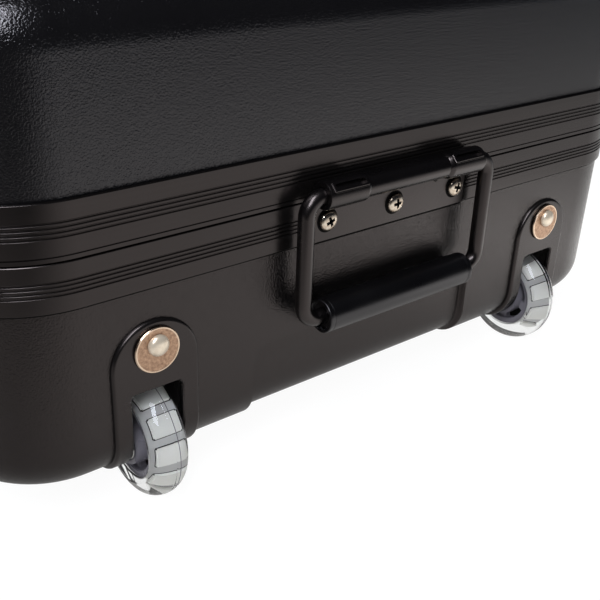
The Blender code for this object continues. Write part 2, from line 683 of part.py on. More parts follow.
def build_handle(mats, name, spot, screws):
    """Plate, bail and grip. The spot's X points away from the case, and its Y runs along the face."""
    bm = prism(handle_outline(), "Y", -PLATE_HALF_WIDTH, PLATE_HALF_WIDTH)
    plate = add_object(f"{name}_plate", bm, mats["black_steel"], spot)
    pivot = (PIVOT_OUT, PIVOT_Z)
    for side in (-1, 1):
        ends = sorted((side * BARREL_HALF_WIDTH, side * (BARREL_HALF_WIDTH - CLAMP_LENGTH)))
        bm = rod("Y", CLAMP_RADIUS, *ends, 20, pivot)
        combine(plate, "UNION", add_object(f"{name}_clamp_{side}", bm, parent=spot))
        middle = side * (BARREL_HALF_WIDTH - CLAMP_LENGTH / 2)
        low = (CLAMP_RADIUS - SLOT_DEPTH, -SLOT_WIDTH / 2, -SLOT_HEIGHT / 2)
        slot = box(low, (CLAMP_RADIUS + SLOT_DEPTH, SLOT_WIDTH / 2, SLOT_HEIGHT / 2))
        at = (pivot[0], middle, pivot[1])
        tilt = (0, -math.radians(45), 0)
        combine(plate, "DIFFERENCE", add_object(f"{name}_slot_{side}", slot, None, spot, at, tilt))
    reach = BARREL_HALF_WIDTH + PAST
    bore = rod("Y", ROD_RADIUS + ROD_SLACK, -reach, reach, 12, pivot)
    combine(plate, "DIFFERENCE", add_object(f"{name}_bore", bore, parent=spot))
    smooth(plate)

    axis = add_empty(f"{name}_pivot", (PIVOT_OUT, 0, PIVOT_Z), parent=spot)
    bm = tube_along(bail_path(), ROD_RADIUS, ROD_SIDES)
    bail = add_object(f"{name}_bail", bm, mats["black_steel"], axis)
    smooth(bail, math.radians(60))
    hole = ROD_RADIUS + GAP
    half = GRIP_HALF_LENGTH
    profile = [(hole, -half), (GRIP_RADIUS - GRIP_LIP, -half), (GRIP_RADIUS, GRIP_LIP - half)]
    profile += [(GRIP_RADIUS, half - GRIP_LIP), (GRIP_RADIUS - GRIP_LIP, half), (hole, half)]
    grip = turned(profile, "Y", 16)
    smooth(add_object(f"{name}_grip", grip, mats["grip"], axis, (0, 0, -BAIL_DROP)))

    if not screws:
        return
    head = GAP + PLATE_THICKNESS + GAP
    for index, side in enumerate((-1, 0, 1), start=1):
        at = (side * SCREW_SPACING, SCREW_Z)
        bm = rod("X", SCREW_SHANK + GAP, -GAP, head + PLATE_THICKNESS, 10, at)
        combine(plate, "DIFFERENCE", add_object(f"{name}_hole_{index}", bm, parent=spot))
        tip = GAP - VALANCE_WALL
        rim = head + SCREW_HEAD_SIDE
        points = [(0.0, tip), (SCREW_SHANK, tip), (SCREW_SHANK, head), (SCREW_HEAD_RADIUS, head)]
        points += [(SCREW_HEAD_RADIUS, rim)]
        points += dome(SCREW_HEAD_RADIUS, rim, SCREW_HEAD - SCREW_HEAD_SIDE)
        points.append((0.0, head + SCREW_HEAD))
        turn = (0, 0, -math.pi / 2)
        bm = spun(points, 14)
        smooth(add_object(f"{name}_screw_{index}", bm, mats["nickel"], spot, (0, *at), turn))


def build_hinge(mats, case, name, x):
    """A leaf on each valance, knuckles in turn round one pin."""
    spot = add_empty(f"{name}_spot", (x, SIDE_Y, PARTING_Z), parent=case)
    half = KNUCKLES * KNUCKLE_PITCH / 2
    out = HINGE_OUT
    for leaf, up in (("base_leaf", -1), ("lid_leaf", 1)):
        reach = (LOWER_VALANCE_HEIGHT if up < 0 else UPPER_VALANCE_HEIGHT) - LEAF_EDGE
        zs = sorted((up * LEAF_EDGE, up * reach))
        bm = box((-half, GAP, zs[0]), (half, GAP + LEAF_THICKNESS, zs[1]))
        plate = add_object(f"{name}_{leaf}", bm, mats["black_steel"], spot)
        for k in range(KNUCKLES):
            if (k % 2 == 0) != (up < 0):
                continue
            start = -half + k * KNUCKLE_PITCH + GAP / 2
            end = start + KNUCKLE_PITCH - GAP
            knuckle = rod("X", KNUCKLE_RADIUS, start, end, 12, (out, 0))
            combine(plate, "UNION", add_object(f"{name}_{leaf}_knuckle_{k}", knuckle, parent=spot))
            zs = sorted((up * GAP, up * (LEAF_EDGE + WEB_REACH)))
            low = (start, GAP + LEAF_THICKNESS / 3, zs[0])
            web = box(low, (end, out - KNUCKLE_RADIUS + WEB_LAP, zs[1]))
            combine(plate, "UNION", add_object(f"{name}_{leaf}_web_{k}", web, parent=spot))
        hole = rod("X", HINGE_PIN_RADIUS + GAP, -half - PAST, half + PAST, 10, (out, 0))
        combine(plate, "DIFFERENCE", add_object(f"{name}_{leaf}_hole", hole, parent=spot))
        smooth(plate)
    pin = rod("X", HINGE_PIN_RADIUS, -half, half, 10, (out, 0))
    smooth(add_object(f"{name}_pin", pin, mats["steel"], spot))


def build_latch(mats, case, name, x):
    """Over-centre draw latch: plate and lever on the base, claw on the lever, keeper on the lid.

    Its own X points out from the front of the case. The lever and the claw are placed just released.
    """
    spot = add_empty(f"{name}_spot", (x, -SIDE_Y, 0), turn_z=-math.pi / 2, parent=case)
    front = GAP + LATCH_SHEET
    bm = box(
        (GAP, -LATCH_HALF_WIDTH, PARTING_Z - LOWER_VALANCE_HEIGHT + LATCH_EDGE),
        (front, LATCH_HALF_WIDTH, PARTING_Z - LATCH_EDGE),
    )
    plate = add_object(f"{name}_plate", bm, mats["black_steel"], spot)
    ear_in = LEVER_HALF_WIDTH + GAP
    ear_low, ear_high = LEVER_PIVOT_Z - LATCH_EAR_HALF_HEIGHT, LEVER_PIVOT_Z + LATCH_EAR_HALF_HEIGHT
    for side in (-1, 1):
        ys = sorted((side * ear_in, side * (ear_in + LATCH_SHEET)))
        ear = box((GAP + LATCH_SHEET / 3, ys[0], ear_low), (LATCH_EAR_OUT, ys[1], ear_high))
        combine(plate, "UNION", add_object(f"{name}_ear_{side}", ear, parent=spot))
        ys = sorted((side * (ear_in + LATCH_SHEET / 2), side * (LEVER_HALF_WIDTH - LEVER_CHEEK + GAP)))
        stub = rod("Y", LATCH_PIN_RADIUS, *ys, 10, (LEVER_PIVOT_OUT, LEVER_PIVOT_Z))
        combine(plate, "UNION", add_object(f"{name}_stub_{side}", stub, parent=spot))

    axis = add_empty(f"{name}_lever_axis", (LEVER_PIVOT_OUT, 0, LEVER_PIVOT_Z), parent=spot)
    axis.rotation_euler = (0, -RELEASED, 0)
    half, outer = LEVER_HALF_WIDTH, LEVER_COVER_OUT
    low = (outer - LEVER_COVER, -half, -LEVER_LENGTH)
    bm = box(low, (outer, half, -LEVER_ARM - COVER_BELOW_PIN))
    lever = add_object(f"{name}_lever", bm, mats["nickel"], axis)
    outline = [
        (-CHEEK_HALF, CHEEK_HALF),
        (-CLAW_BACK - CLAW_BOSS, -LEVER_ARM - CHEEK_HALF),
        (outer - 0.75 * LEVER_COVER, -LEVER_ARM - CHEEK_REACH),
        (outer - 0.125 * LEVER_COVER, -LEVER_ARM - CHEEK_REACH),
        (outer - 0.125 * LEVER_COVER, -LEVER_ARM),
        (CHEEK_HALF, CHEEK_HALF),
    ]
    for side in (-1, 1):
        cheek = prism(outline, "Y", *sorted((side * (half - LEVER_CHEEK), side * half)))
        combine(lever, "UNION", add_object(f"{name}_cheek_{side}", cheek, parent=axis))
    for hole_name, at in (("pivot", (0, 0)), ("claw", (-CLAW_BACK, -LEVER_ARM))):
        hole = rod("Y", LATCH_PIN_RADIUS + GAP, -half - PAST, half + PAST, 10, at)
        combine(lever, "DIFFERENCE", add_object(f"{name}_{hole_name}_hole", hole, parent=axis))

    swung = Matrix.Rotation(RELEASED, 2) @ Vector((-CLAW_BACK, -LEVER_ARM))
    claw_axis = (LEVER_PIVOT_OUT + swung.x, 0, LEVER_PIVOT_Z + swung.y)
    top = LEDGE_Z + LEDGE_HEIGHT + GAP + CLAW_LIP - (LEVER_PIVOT_Z - LEVER_ARM)
    strap_front = CLAW_THICKNESS / 2
    bm = box((-strap_front, -CLAW_HALF_WIDTH, -CLAW_FOOT), (strap_front, CLAW_HALF_WIDTH, top))
    claw = add_object(f"{name}_claw", bm, mats["nickel"], spot, claw_axis)
    pin = rod("Y", LATCH_PIN_RADIUS, LATCH_PIN_SHORT - half, half - LATCH_PIN_SHORT, 10)
    lip_back = front + CLAW_CLEARANCE - (LEVER_PIVOT_OUT - CLAW_BACK)
    lip = box((lip_back, -CLAW_HALF_WIDTH, top - CLAW_LIP), (strap_front, CLAW_HALF_WIDTH, top))
    claw_pin = add_object(f"{name}_claw_pin", pin, None, spot, claw_axis)
    claw_lip = add_object(f"{name}_claw_lip", lip, None, spot, claw_axis)
    combine(claw, "UNION", claw_pin, claw_lip)

    low = (GAP, -KEEPER_HALF_WIDTH, LEDGE_Z - KEEPER_HEIGHT / 2)
    bm = box(low, (front, KEEPER_HALF_WIDTH, LEDGE_Z + KEEPER_HEIGHT / 2))
    keeper = add_object(f"{name}_keeper", bm, mats["nickel"], spot)
    low = (GAP + LATCH_SHEET / 3, -KEEPER_HALF_WIDTH, LEDGE_Z)
    ledge = box(low, (front + LEDGE_OUT, KEEPER_HALF_WIDTH, LEDGE_Z + LEDGE_HEIGHT))
    combine(keeper, "UNION", add_object(f"{name}_ledge", ledge, parent=spot))


def build_foot(mats, case, end, side):
    top = FLOOR_OF_BASE_Z - GAP
    rings = []
    for z, radius in ((0.0, FOOT_RADIUS), (top, FOOT_TOP_RADIUS)):
        rings.append([(x, y, z) for x, y in arc((0, 0), radius, 0, 345, 23)])
    spot = (FOOT_FROM_END - END_X, side * FOOT_HALF_TRACK, 0)
    smooth(add_object(f"foot_{end}", bridged(rings), mats["rubber"], case, spot))


def main():
    clear_scene()
    mats = {
        "shell": make_material("moulded_abs", (0.045, 0.042, 0.041), 0.5),
        "valance": make_material("black_anodised", (0.05, 0.047, 0.046), 0.35, 0.6),
        "rubber": make_material("black_rubber", (0.02, 0.02, 0.02), 0.8),
        "foam": make_material("grey_foam", (0.12, 0.12, 0.13), 0.95),
        "housing": make_material("smooth_black_plastic", (0.03, 0.03, 0.03), 0.35),
        "tyre": make_material("clear_urethane", (0.8, 0.82, 0.82), 0.15, 0.0, 0.45),
        "core": make_material("grey_nylon", (0.5, 0.5, 0.52), 0.4),
        "steel": make_material("bright_steel", (0.6, 0.6, 0.6), 0.25, 1.0),
        "brass": make_material("tarnished_brass", (0.45, 0.3, 0.2), 0.35, 1.0),
        "nickel": make_material("warm_nickel", (0.75, 0.68, 0.58), 0.25, 1.0),
        "black_steel": make_material("black_painted_steel", (0.03, 0.03, 0.03), 0.35),
        "grip": make_material("grip_plastic", (0.02, 0.02, 0.022), 0.4),
    }
    case = add_empty("case", (0, CASE_SHIFT_Y, 0))
    build_base_shell(mats, case, build_well_cutters(case))
    build_lid_shell(mats, case)
    build_valances(mats, case)
    build_linings(mats, case)
    for end, side in (("front", -1), ("back", 1)):
        build_housing(mats, case, end, side)
        build_wheel(mats, case, end, side)
        build_foot(mats, case, end, side)
    spots = {
        "wheel_end_handle": ((END_X, HANDLE_OFF_MIDDLE, 0), 0.0),
        "far_end_handle": ((-END_X, 0, 0), math.pi),
        "front_handle": ((0, -SIDE_Y, 0), -math.pi / 2),
    }
    for name, (place, turn) in spots.items():
        spot = add_empty(f"{name}_spot", place, turn, case)
        build_handle(mats, name, spot, screws=name == "wheel_end_handle")
    hinge_x = END_X - HINGE_FROM_END
    for index, x in enumerate((-hinge_x, 0.0, hinge_x), start=1):
        build_hinge(mats, case, f"hinge_{index}", x)
    latch_x = END_X - LATCH_FROM_END
    places = (-latch_x, -LATCH_FROM_MIDDLE, LATCH_FROM_MIDDLE, latch_x)
    for index, x in enumerate(places, start=1):
        build_latch(mats, case, f"latch_{index}", x)


main()
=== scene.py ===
"""Dressed model of a long black hard case for a keyboard, lying flat on two skate wheels and two feet.

Metres, +Z up. X runs along the case with the wheels at +X, the hinges are at +Y and the latches at -Y.
Every sub-assembly is a class that holds its sizes, builds its meshes and dresses them in a finish.
"""

import logging
import math
from collections.abc import Iterable, Sequence
from dataclasses import dataclass
from enum import Enum

import bmesh
import bpy
from mathutils import Matrix, Vector


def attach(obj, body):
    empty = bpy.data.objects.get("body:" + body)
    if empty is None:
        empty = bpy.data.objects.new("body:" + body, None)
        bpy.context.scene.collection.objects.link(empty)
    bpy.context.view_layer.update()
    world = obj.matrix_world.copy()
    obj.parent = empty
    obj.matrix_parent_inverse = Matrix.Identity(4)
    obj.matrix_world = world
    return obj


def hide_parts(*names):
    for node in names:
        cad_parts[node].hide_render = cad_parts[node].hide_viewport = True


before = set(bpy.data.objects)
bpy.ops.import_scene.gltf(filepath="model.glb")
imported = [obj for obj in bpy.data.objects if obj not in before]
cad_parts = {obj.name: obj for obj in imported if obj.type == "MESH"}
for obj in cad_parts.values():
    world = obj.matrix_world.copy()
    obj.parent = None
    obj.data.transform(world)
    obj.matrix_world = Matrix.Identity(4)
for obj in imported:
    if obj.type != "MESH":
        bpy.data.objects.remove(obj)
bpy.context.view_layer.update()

log = logging.getLogger("keyboard_case")

MM = 0.001
Point = tuple[float, float, float]
Pair = tuple[float, float]
Colour = tuple[float, float, float]
Mesh = bmesh.types.BMesh


# Sizes that several pieces share


@dataclass(frozen=True)
class CaseBody:
    """The closed case, measured at the outer face of the valance."""

    half_length: float = 750 * MM
    half_width: float = 250 * MM
    corner: float = 60 * MM
    middle_y: float = 4.45 * MM
    parting_z: float = 153.5 * MM
    floor_z: float = 22 * MM
    top_z: float = 268 * MM
    draft: float = math.radians(0.5)
    edge: float = 26 * MM
    wall: float = 3.5 * MM


CASE = CaseBody()
FAR_VIEW = 6.0


class Side(Enum):
    """Which of two alike pieces: the one near the latches or the one near the hinges."""

    FRONT = -1
    BACK = 1

    @property
    def word(self) -> str:
        """The side's word in the names of nodes and bodies."""
        return self.name.lower()


# Mesh making


def arc(centre: Pair, radius: float, start: float, end: float, steps: int) -> list[Pair]:
    """Points on an arc, ends included.

    Args:
        centre: The arc's centre.
        radius: Its radius.
        start: First angle in degrees.
        end: Last angle in degrees.
        steps: How many chords it has.

    Returns:
        The points in order.
    """
    angles = (math.radians(start + (end - start) * i / steps) for i in range(steps + 1))
    return [(centre[0] + radius * math.cos(a), centre[1] + radius * math.sin(a)) for a in angles]


def skin(rings: Sequence[Sequence[Point]], closed: bool = False) -> Mesh:
    """Skin rings of points with quads.

    Args:
        rings: Rings with the same number of points each.
        closed: Join the last ring to the first, in place of capping both.

    Returns:
        A closed mesh.
    """
    bm = bmesh.new()
    loops = [[bm.verts.new(point) for point in ring] for ring in rings]
    pairs = list(zip(loops, loops[1:]))
    if closed:
        pairs.append((loops[-1], loops[0]))
    else:
        bm.faces.new(loops[0])
        bm.faces.new(loops[-1])
    for low, high in pairs:
        for i in range(len(low)):
            j = (i + 1) % len(low)
            bm.faces.new((low[i], low[j], high[j], high[i]))
    bmesh.ops.recalc_face_normals(bm, faces=bm.faces)
    return bm


def turned(profile: Sequence[Pair], sides: int = 64) -> Mesh:
    """Turn a profile about the Z axis.

    Args:
        profile: (radius, height) points. It is closed on itself unless it starts and ends on the axis.
        sides: How many facets the turn has.

    Returns:
        The turned solid.
    """
    open_ended = profile[0][0] == 0.0
    points = profile[1:-1] if open_ended else profile
    rings = []
    for radius, height in points:
        turns = (2 * math.pi * i / sides for i in range(sides))
        rings.append([(radius * math.cos(a), radius * math.sin(a), height) for a in turns])
    return skin(rings, closed=not open_ended)


def prism(outline: Sequence[Pair], axis: str, start: float, end: float) -> Mesh:
    """Extrude an outline along an axis.

    Args:
        outline: Points in the other two axes, in X, Y, Z order.
        axis: "X", "Y" or "Z".
        start: Where the prism starts along the axis.
        end: Where it ends.

    Returns:
        The prism.
    """

    def place(point: Pair, along: float) -> Point:
        """A point of the outline at a place along the axis."""
        at = "XYZ".index(axis)
        return (*point[:at], along, *point[at:])

    return skin([[place(p, start) for p in outline], [place(p, end) for p in outline]])


def box(low: Point, high: Point) -> Mesh:
    """A box between two corners."""
    (x0, y0, z0), (x1, y1, z1) = low, high
    return prism([(x0, y0), (x1, y0), (x1, y1), (x0, y1)], "Z", z0, z1)


def rod(axis: str, radius: float, start: float, end: float, centre: Pair = (0, 0), sides: int = 32) -> Mesh:
    """A straight round rod along an axis."""
    return prism(arc(centre, radius, 0, 360 * (sides - 1) / sides, sides - 1), axis, start, end)


def joined(*parts: Mesh) -> Mesh:
    """Gather meshes into the first one, and free the rest.

    Args:
        parts: The meshes.

    Returns:
        The first mesh, with all the others in it.
    """
    whole = parts[0]
    for part in parts[1:]:
        spare = bpy.data.meshes.new("spare")
        part.to_mesh(spare)
        whole.from_mesh(spare)
        bpy.data.meshes.remove(spare)
        part.free()
    return whole


def moved(bm: Mesh, matrix: Matrix) -> Mesh:
    """Move a mesh by a matrix and hand it back."""
    bm.transform(matrix)
    return bm


def carved(target: Mesh, *cutters: Mesh, operation: str = "DIFFERENCE") -> Mesh:
    """Cut, join or intersect a mesh with others.

    Args:
        target: The mesh that is worked on. It is freed.
        cutters: The meshes that work on it. They are freed.
        operation: "DIFFERENCE", "UNION" or "INTERSECT".

    Returns:
        The worked mesh.
    """
    spares = []
    for bm in (target, *cutters):
        mesh = bpy.data.meshes.new("spare")
        bm.to_mesh(mesh)
        bm.free()
        obj = bpy.data.objects.new("spare", mesh)
        bpy.context.scene.collection.objects.link(obj)
        spares.append(obj)
    for cutter in spares[1:]:
        modifier = spares[0].modifiers.new("carve", "BOOLEAN")
        modifier.operation = operation
        modifier.solver = "EXACT"
        modifier.object = cutter
    depsgraph = bpy.context.evaluated_depsgraph_get()
    result = bpy.data.meshes.new_from_object(spares[0].evaluated_get(depsgraph))
    bm = bmesh.new()
    bm.from_mesh(result)
    bpy.data.meshes.remove(result)
    for obj in spares:
        mesh = obj.data
        bpy.data.objects.remove(obj)
        bpy.data.meshes.remove(mesh)
    return bm


def bevelled(bm: Mesh, width: float, segments: int = 2, sharper_than: float = 30) -> Mesh:
    """Round every edge that is sharper than an angle.

    Args:
        bm: The mesh.
        width: The bevel's width.
        segments: How many facets it has.
        sharper_than: The angle in degrees.

    Returns:
        The same mesh.
    """
    limit = math.radians(sharper_than)
    bmesh.ops.remove_doubles(bm, verts=bm.verts, dist=1e-6)
    edges = [e for e in bm.edges if len(e.link_faces) == 2 and e.calc_face_angle(0) > limit]
    bmesh.ops.bevel(bm, geom=edges, offset=width, segments=segments, affect="EDGES", clamp_overlap=True)
    return bm


def tube(path: Sequence[Point], across: Vector, radius: float, sides: int = 24) -> Mesh:
    """A round rod along a flat path.

    Args:
        path: The centreline's points.
        across: The direction square to the plane of the path.
        radius: The rod's radius.
        sides: How many facets it has.

    Returns:
        The rod, capped at both ends.
    """
    rings = []
    for i, point in enumerate(path):
        before = Vector(path[max(i - 1, 0)])
        after = Vector(path[min(i + 1, len(path) - 1)])
        other = (after - before).normalized().cross(across)
        ring = []
        for k in range(sides):
            angle = 2 * math.pi * k / sides
            offset = across * (radius * math.cos(angle)) + other * (radius * math.sin(angle))
            ring.append(tuple(Vector(point) + offset))
        rings.append(ring)
    return skin(rings)


def smoothstep(value: float) -> float:
    """Ease a value from 0 to 1."""
    value = min(max(value, 0.0), 1.0)
    return value * value * (3 - 2 * value)


def case_ring(inset: float, z: float, marks: Sequence[float] = (), steps: int = 20) -> list[Point]:
    """A level ring round the case.

    Args:
        inset: How far inside the valance's outer face it runs.
        z: Its height.
        marks: Places across each end, from the middle, that get a point.
        steps: Chords in each corner.

    Returns:
        The ring's points.
    """
    half_x = CASE.half_length - inset
    half_y = CASE.half_width - inset
    radius = CASE.corner - inset
    points: list[Pair] = []
    for quarter, (sx, sy) in enumerate(((1, 1), (-1, 1), (-1, -1), (1, -1))):
        centre = (sx * (half_x - radius), sy * (half_y - radius))
        points += arc(centre, radius, 90 * quarter, 90 * quarter + 90, steps)
        if quarter == 1:
            points += [(-half_x, y) for y in sorted(marks, reverse=True)]
        if quarter == 3:
            points += [(half_x, y) for y in sorted(marks)]
    return [(x, y + CASE.middle_y, z) for x, y in points]


# Finishes


class Graph:
    """One material's node tree, with short calls for the nodes that the finishes use."""

    def __init__(self, name: str) -> None:
        """Start a material that has a Principled shader and Object coordinates.

        Args:
            name: The material's name.
        """
        self.material = bpy.data.materials.new(name)
        self.material.use_nodes = True
        self.tree = self.material.node_tree
        self.shader = self.tree.nodes["Principled BSDF"]
        self.coords = self.add("ShaderNodeTexCoord").outputs["Object"]

    def add(self, kind: str, inputs: dict | None = None, **settings: object) -> bpy.types.Node:
        """Add a node.

        Args:
            kind: The node's type.
            inputs: Values or sockets, by input name.
            settings: The node's own settings.

        Returns:
            The node.
        """
        node = self.tree.nodes.new(kind)
        for key, value in settings.items():
            setattr(node, key, value)
        for key, value in (inputs or {}).items():
            self.feed(node.inputs[key], value)
        return node

    def feed(self, socket: bpy.types.NodeSocket, value: object) -> None:
        """Link a socket to an input, or set it to a value.

        Args:
            socket: The input.
            value: A socket to link, or a value to set.
        """
        if isinstance(value, bpy.types.NodeSocket):
            self.tree.links.new(value, socket)
        else:
            socket.default_value = value

    def stretched(self, scale: Point) -> bpy.types.NodeSocket:
        """Object coordinates scaled differently along each axis."""
        return self.add("ShaderNodeMapping", {"Vector": self.coords, "Scale": scale}).outputs["Vector"]

    def noise(
        self,
        scale: float,
        detail: float = 2.0,
        rough: float = 0.5,
        vector: object = None,
        distortion: float = 0.0,
    ) -> bpy.types.NodeSocket:
        """A noise value.

        Args:
            scale: Its frequency per metre.
            detail: Octaves.
            rough: How strong the finer octaves are.
            vector: Coordinates, in place of Object coordinates.
            distortion: How much it swirls.

        Returns:
            The value's socket.
        """
        inputs = {
            "Vector": vector or self.coords,
            "Scale": scale,
            "Detail": detail,
            "Roughness": rough,
            "Distortion": distortion,
        }
        return self.add("ShaderNodeTexNoise", inputs).outputs["Fac"]

    def math(self, operation: str, first: object, second: object = 0.0) -> bpy.types.NodeSocket:
        """One sum of two values.

        Args:
            operation: What is done, in Blender's word.
            first: A value or socket.
            second: Another.

        Returns:
            The result's socket.
        """
        node = self.add("ShaderNodeMath", operation=operation)
        self.feed(node.inputs[0], first)
        self.feed(node.inputs[1], second)
        return node.outputs[0]

    def spread(
        self, value: object, low: float, high: float, start: float = 0.0, end: float = 1.0
    ) -> bpy.types.NodeSocket:
        """Map a value from start..end to low..high.

        Args:
            value: The value's socket.
            low: What start becomes.
            high: What end becomes.
            start: The lower end of what comes in.
            end: The upper end.

        Returns:
            The mapped value's socket.
        """
        inputs = {"Value": value, "From Min": start, "From Max": end, "To Min": low, "To Max": high}
        return self.add("ShaderNodeMapRange", inputs).outputs["Result"]

    def blend(self, factor: object, first: object, second: object) -> bpy.types.NodeSocket:
        """Mix two colours.

        Args:
            factor: The second colour's share.
            first: A colour or socket.
            second: Another.

        Returns:
            The mixed colour's socket.
        """
        node = self.add("ShaderNodeMix", data_type="RGBA")
        self.feed(node.inputs["Factor"], factor)
        self.feed(node.inputs[6], (*first, 1.0) if isinstance(first, tuple) else first)
        self.feed(node.inputs[7], (*second, 1.0) if isinstance(second, tuple) else second)
        return node.outputs[2]

    def bump(
        self, height: object, depth: float, strength: float = 1.0, under: object = None
    ) -> bpy.types.NodeSocket:
        """Turn a height into a normal.

        Args:
            height: The height's socket.
            depth: How deep a height of 1 is, in metres.
            strength: How strongly it shows.
            under: A normal to lay it on.

        Returns:
            The normal's socket.
        """
        inputs = {"Height": height, "Distance": depth, "Strength": strength}
        if under is not None:
            inputs["Normal"] = under
        return self.add("ShaderNodeBump", inputs).outputs["Normal"]

    def finish(self, **inputs: object) -> bpy.types.Material:
        """Feed the shader's inputs, named with underscores, and hand back the material.

        Args:
            inputs: Values or sockets, by input name with underscores.

        Returns:
            The material.
        """
        for key, value in inputs.items():
            socket = self.shader.inputs[key.replace("_", " ")]
            self.feed(socket, (*value, 1.0) if isinstance(value, tuple) and len(value) == 3 else value)
        return self.material


WARM_GLOSS = (1.0, 0.86, 0.83)
COOL_GLOSS = (1.0, 0.96, 0.99)


@dataclass(frozen=True)
class HaircellPlastic:
    """Moulded plastic with a fine leathery grain."""

    name: str
    dark: Colour
    light: Colour
    gloss: Colour = WARM_GLOSS
    grain_per_metre: float = 1050
    grain_depth: float = 0.26 * MM
    rough: Pair = (0.15, 0.2)

    def build(self) -> bpy.types.Material:
        """Build the material.

        Returns:
            The material.
        """
        g = Graph(self.name)
        grain = g.noise(self.grain_per_metre, 1.0, 0.5, distortion=0.6)
        normal = g.bump(grain, self.grain_depth)
        colour = g.blend(g.noise(14, 3.0), self.dark, self.light)
        rough = g.spread(g.noise(180, 2.0), self.rough[0], self.rough[1], 0.3, 0.7)
        return g.finish(Base_Color=colour, Roughness=rough, Normal=normal, Specular_Tint=self.gloss)


@dataclass(frozen=True)
class SatinFinish:
    """Smooth paint, anodising or plastic with a slight unevenness and optional drawn lines."""

    name: str
    dark: Colour
    light: Colour
    rough: Pair
    metallic: float = 0.0
    ripple_per_metre: float = 260
    ripple_depth: float = 0.03 * MM
    lines: Point | None = None
    gloss: Colour = WARM_GLOSS
    shine: float = 0.5

    def build(self) -> bpy.types.Material:
        """Build the material.

        Returns:
            The material.
        """
        g = Graph(self.name)
        ripple = g.noise(self.ripple_per_metre, 2.0)
        normal = g.bump(ripple, self.ripple_depth, 0.5)
        if self.lines:
            drawn = g.noise(1.0, 2.0, 0.6, vector=g.stretched(self.lines))
            normal = g.bump(drawn, 0.02 * MM, 0.5, under=normal)
            rough = g.spread(drawn, self.rough[0], self.rough[1], 0.3, 0.7)
        else:
            rough = g.spread(g.noise(35, 3.0), self.rough[0], self.rough[1], 0.3, 0.7)
        colour = g.blend(g.noise(22, 3.0), self.dark, self.light)
        g.finish(Base_Color=colour, Roughness=rough, Metallic=self.metallic, Normal=normal)
        return g.finish(Specular_Tint=self.gloss, Specular_IOR_Level=self.shine)


@dataclass(frozen=True)
class MottledMetal:
    """Bare plated metal with tarnish in blotches."""

    name: str
    clean: Colour
    tarnish: Colour
    rough: Pair
    blotches_per_metre: float = 420
    tarnish_share: float = 0.5
    metallic: float = 1.0

    def build(self) -> bpy.types.Material:
        """Build the material.

        Returns:
            The material.
        """
        g = Graph(self.name)
        blotch = g.noise(self.blotches_per_metre, 5.0, 0.65)
        edge = 1 - self.tarnish_share
        share = g.spread(blotch, 0.0, 1.0, edge - 0.16, edge + 0.16)
        colour = g.blend(share, self.clean, self.tarnish)
        rough = g.spread(share, self.rough[0], self.rough[1])
        normal = g.bump(g.noise(1500, 2.0), 0.02 * MM, 0.5)
        return g.finish(Base_Color=colour, Roughness=rough, Metallic=self.metallic, Normal=normal)


@dataclass(frozen=True)
class ClearUrethane:
    """Clear cast tyre, faintly grey, with tiny waves in its skin."""

    name: str = "clear urethane"
    tint: Colour = (0.9, 0.905, 0.9)

    def build(self) -> bpy.types.Material:
        """Build the material.

        Returns:
            The material.
        """
        g = Graph(self.name)
        colour = g.blend(g.noise(60, 2.0), self.tint, tuple(0.97 * c for c in self.tint))
        rough = g.spread(g.noise(300, 2.0), 0.02, 0.07)
        normal = g.bump(g.noise(120, 2.0), 0.05 * MM, 0.4)
        return g.finish(
            Base_Color=colour,
            Roughness=rough,
            IOR=1.42,
            Transmission_Weight=1.0,
            Specular_IOR_Level=0.6,
            Normal=normal,
        )


@dataclass(frozen=True)
class PlushFoam:
    """Foam with a short napped face."""

    name: str
    dark: Colour
    light: Colour

    def build(self) -> bpy.types.Material:
        """Build the material.

        Returns:
            The material.
        """
        g = Graph(self.name)
        nap = g.noise(900, 4.0, 0.7)
        colour = g.blend(g.noise(180, 4.0, 0.7), self.dark, self.light)
        normal = g.bump(nap, 0.5 * MM, 0.7)
        return g.finish(Base_Color=colour, Roughness=0.95, Normal=normal, Sheen_Weight=0.3)


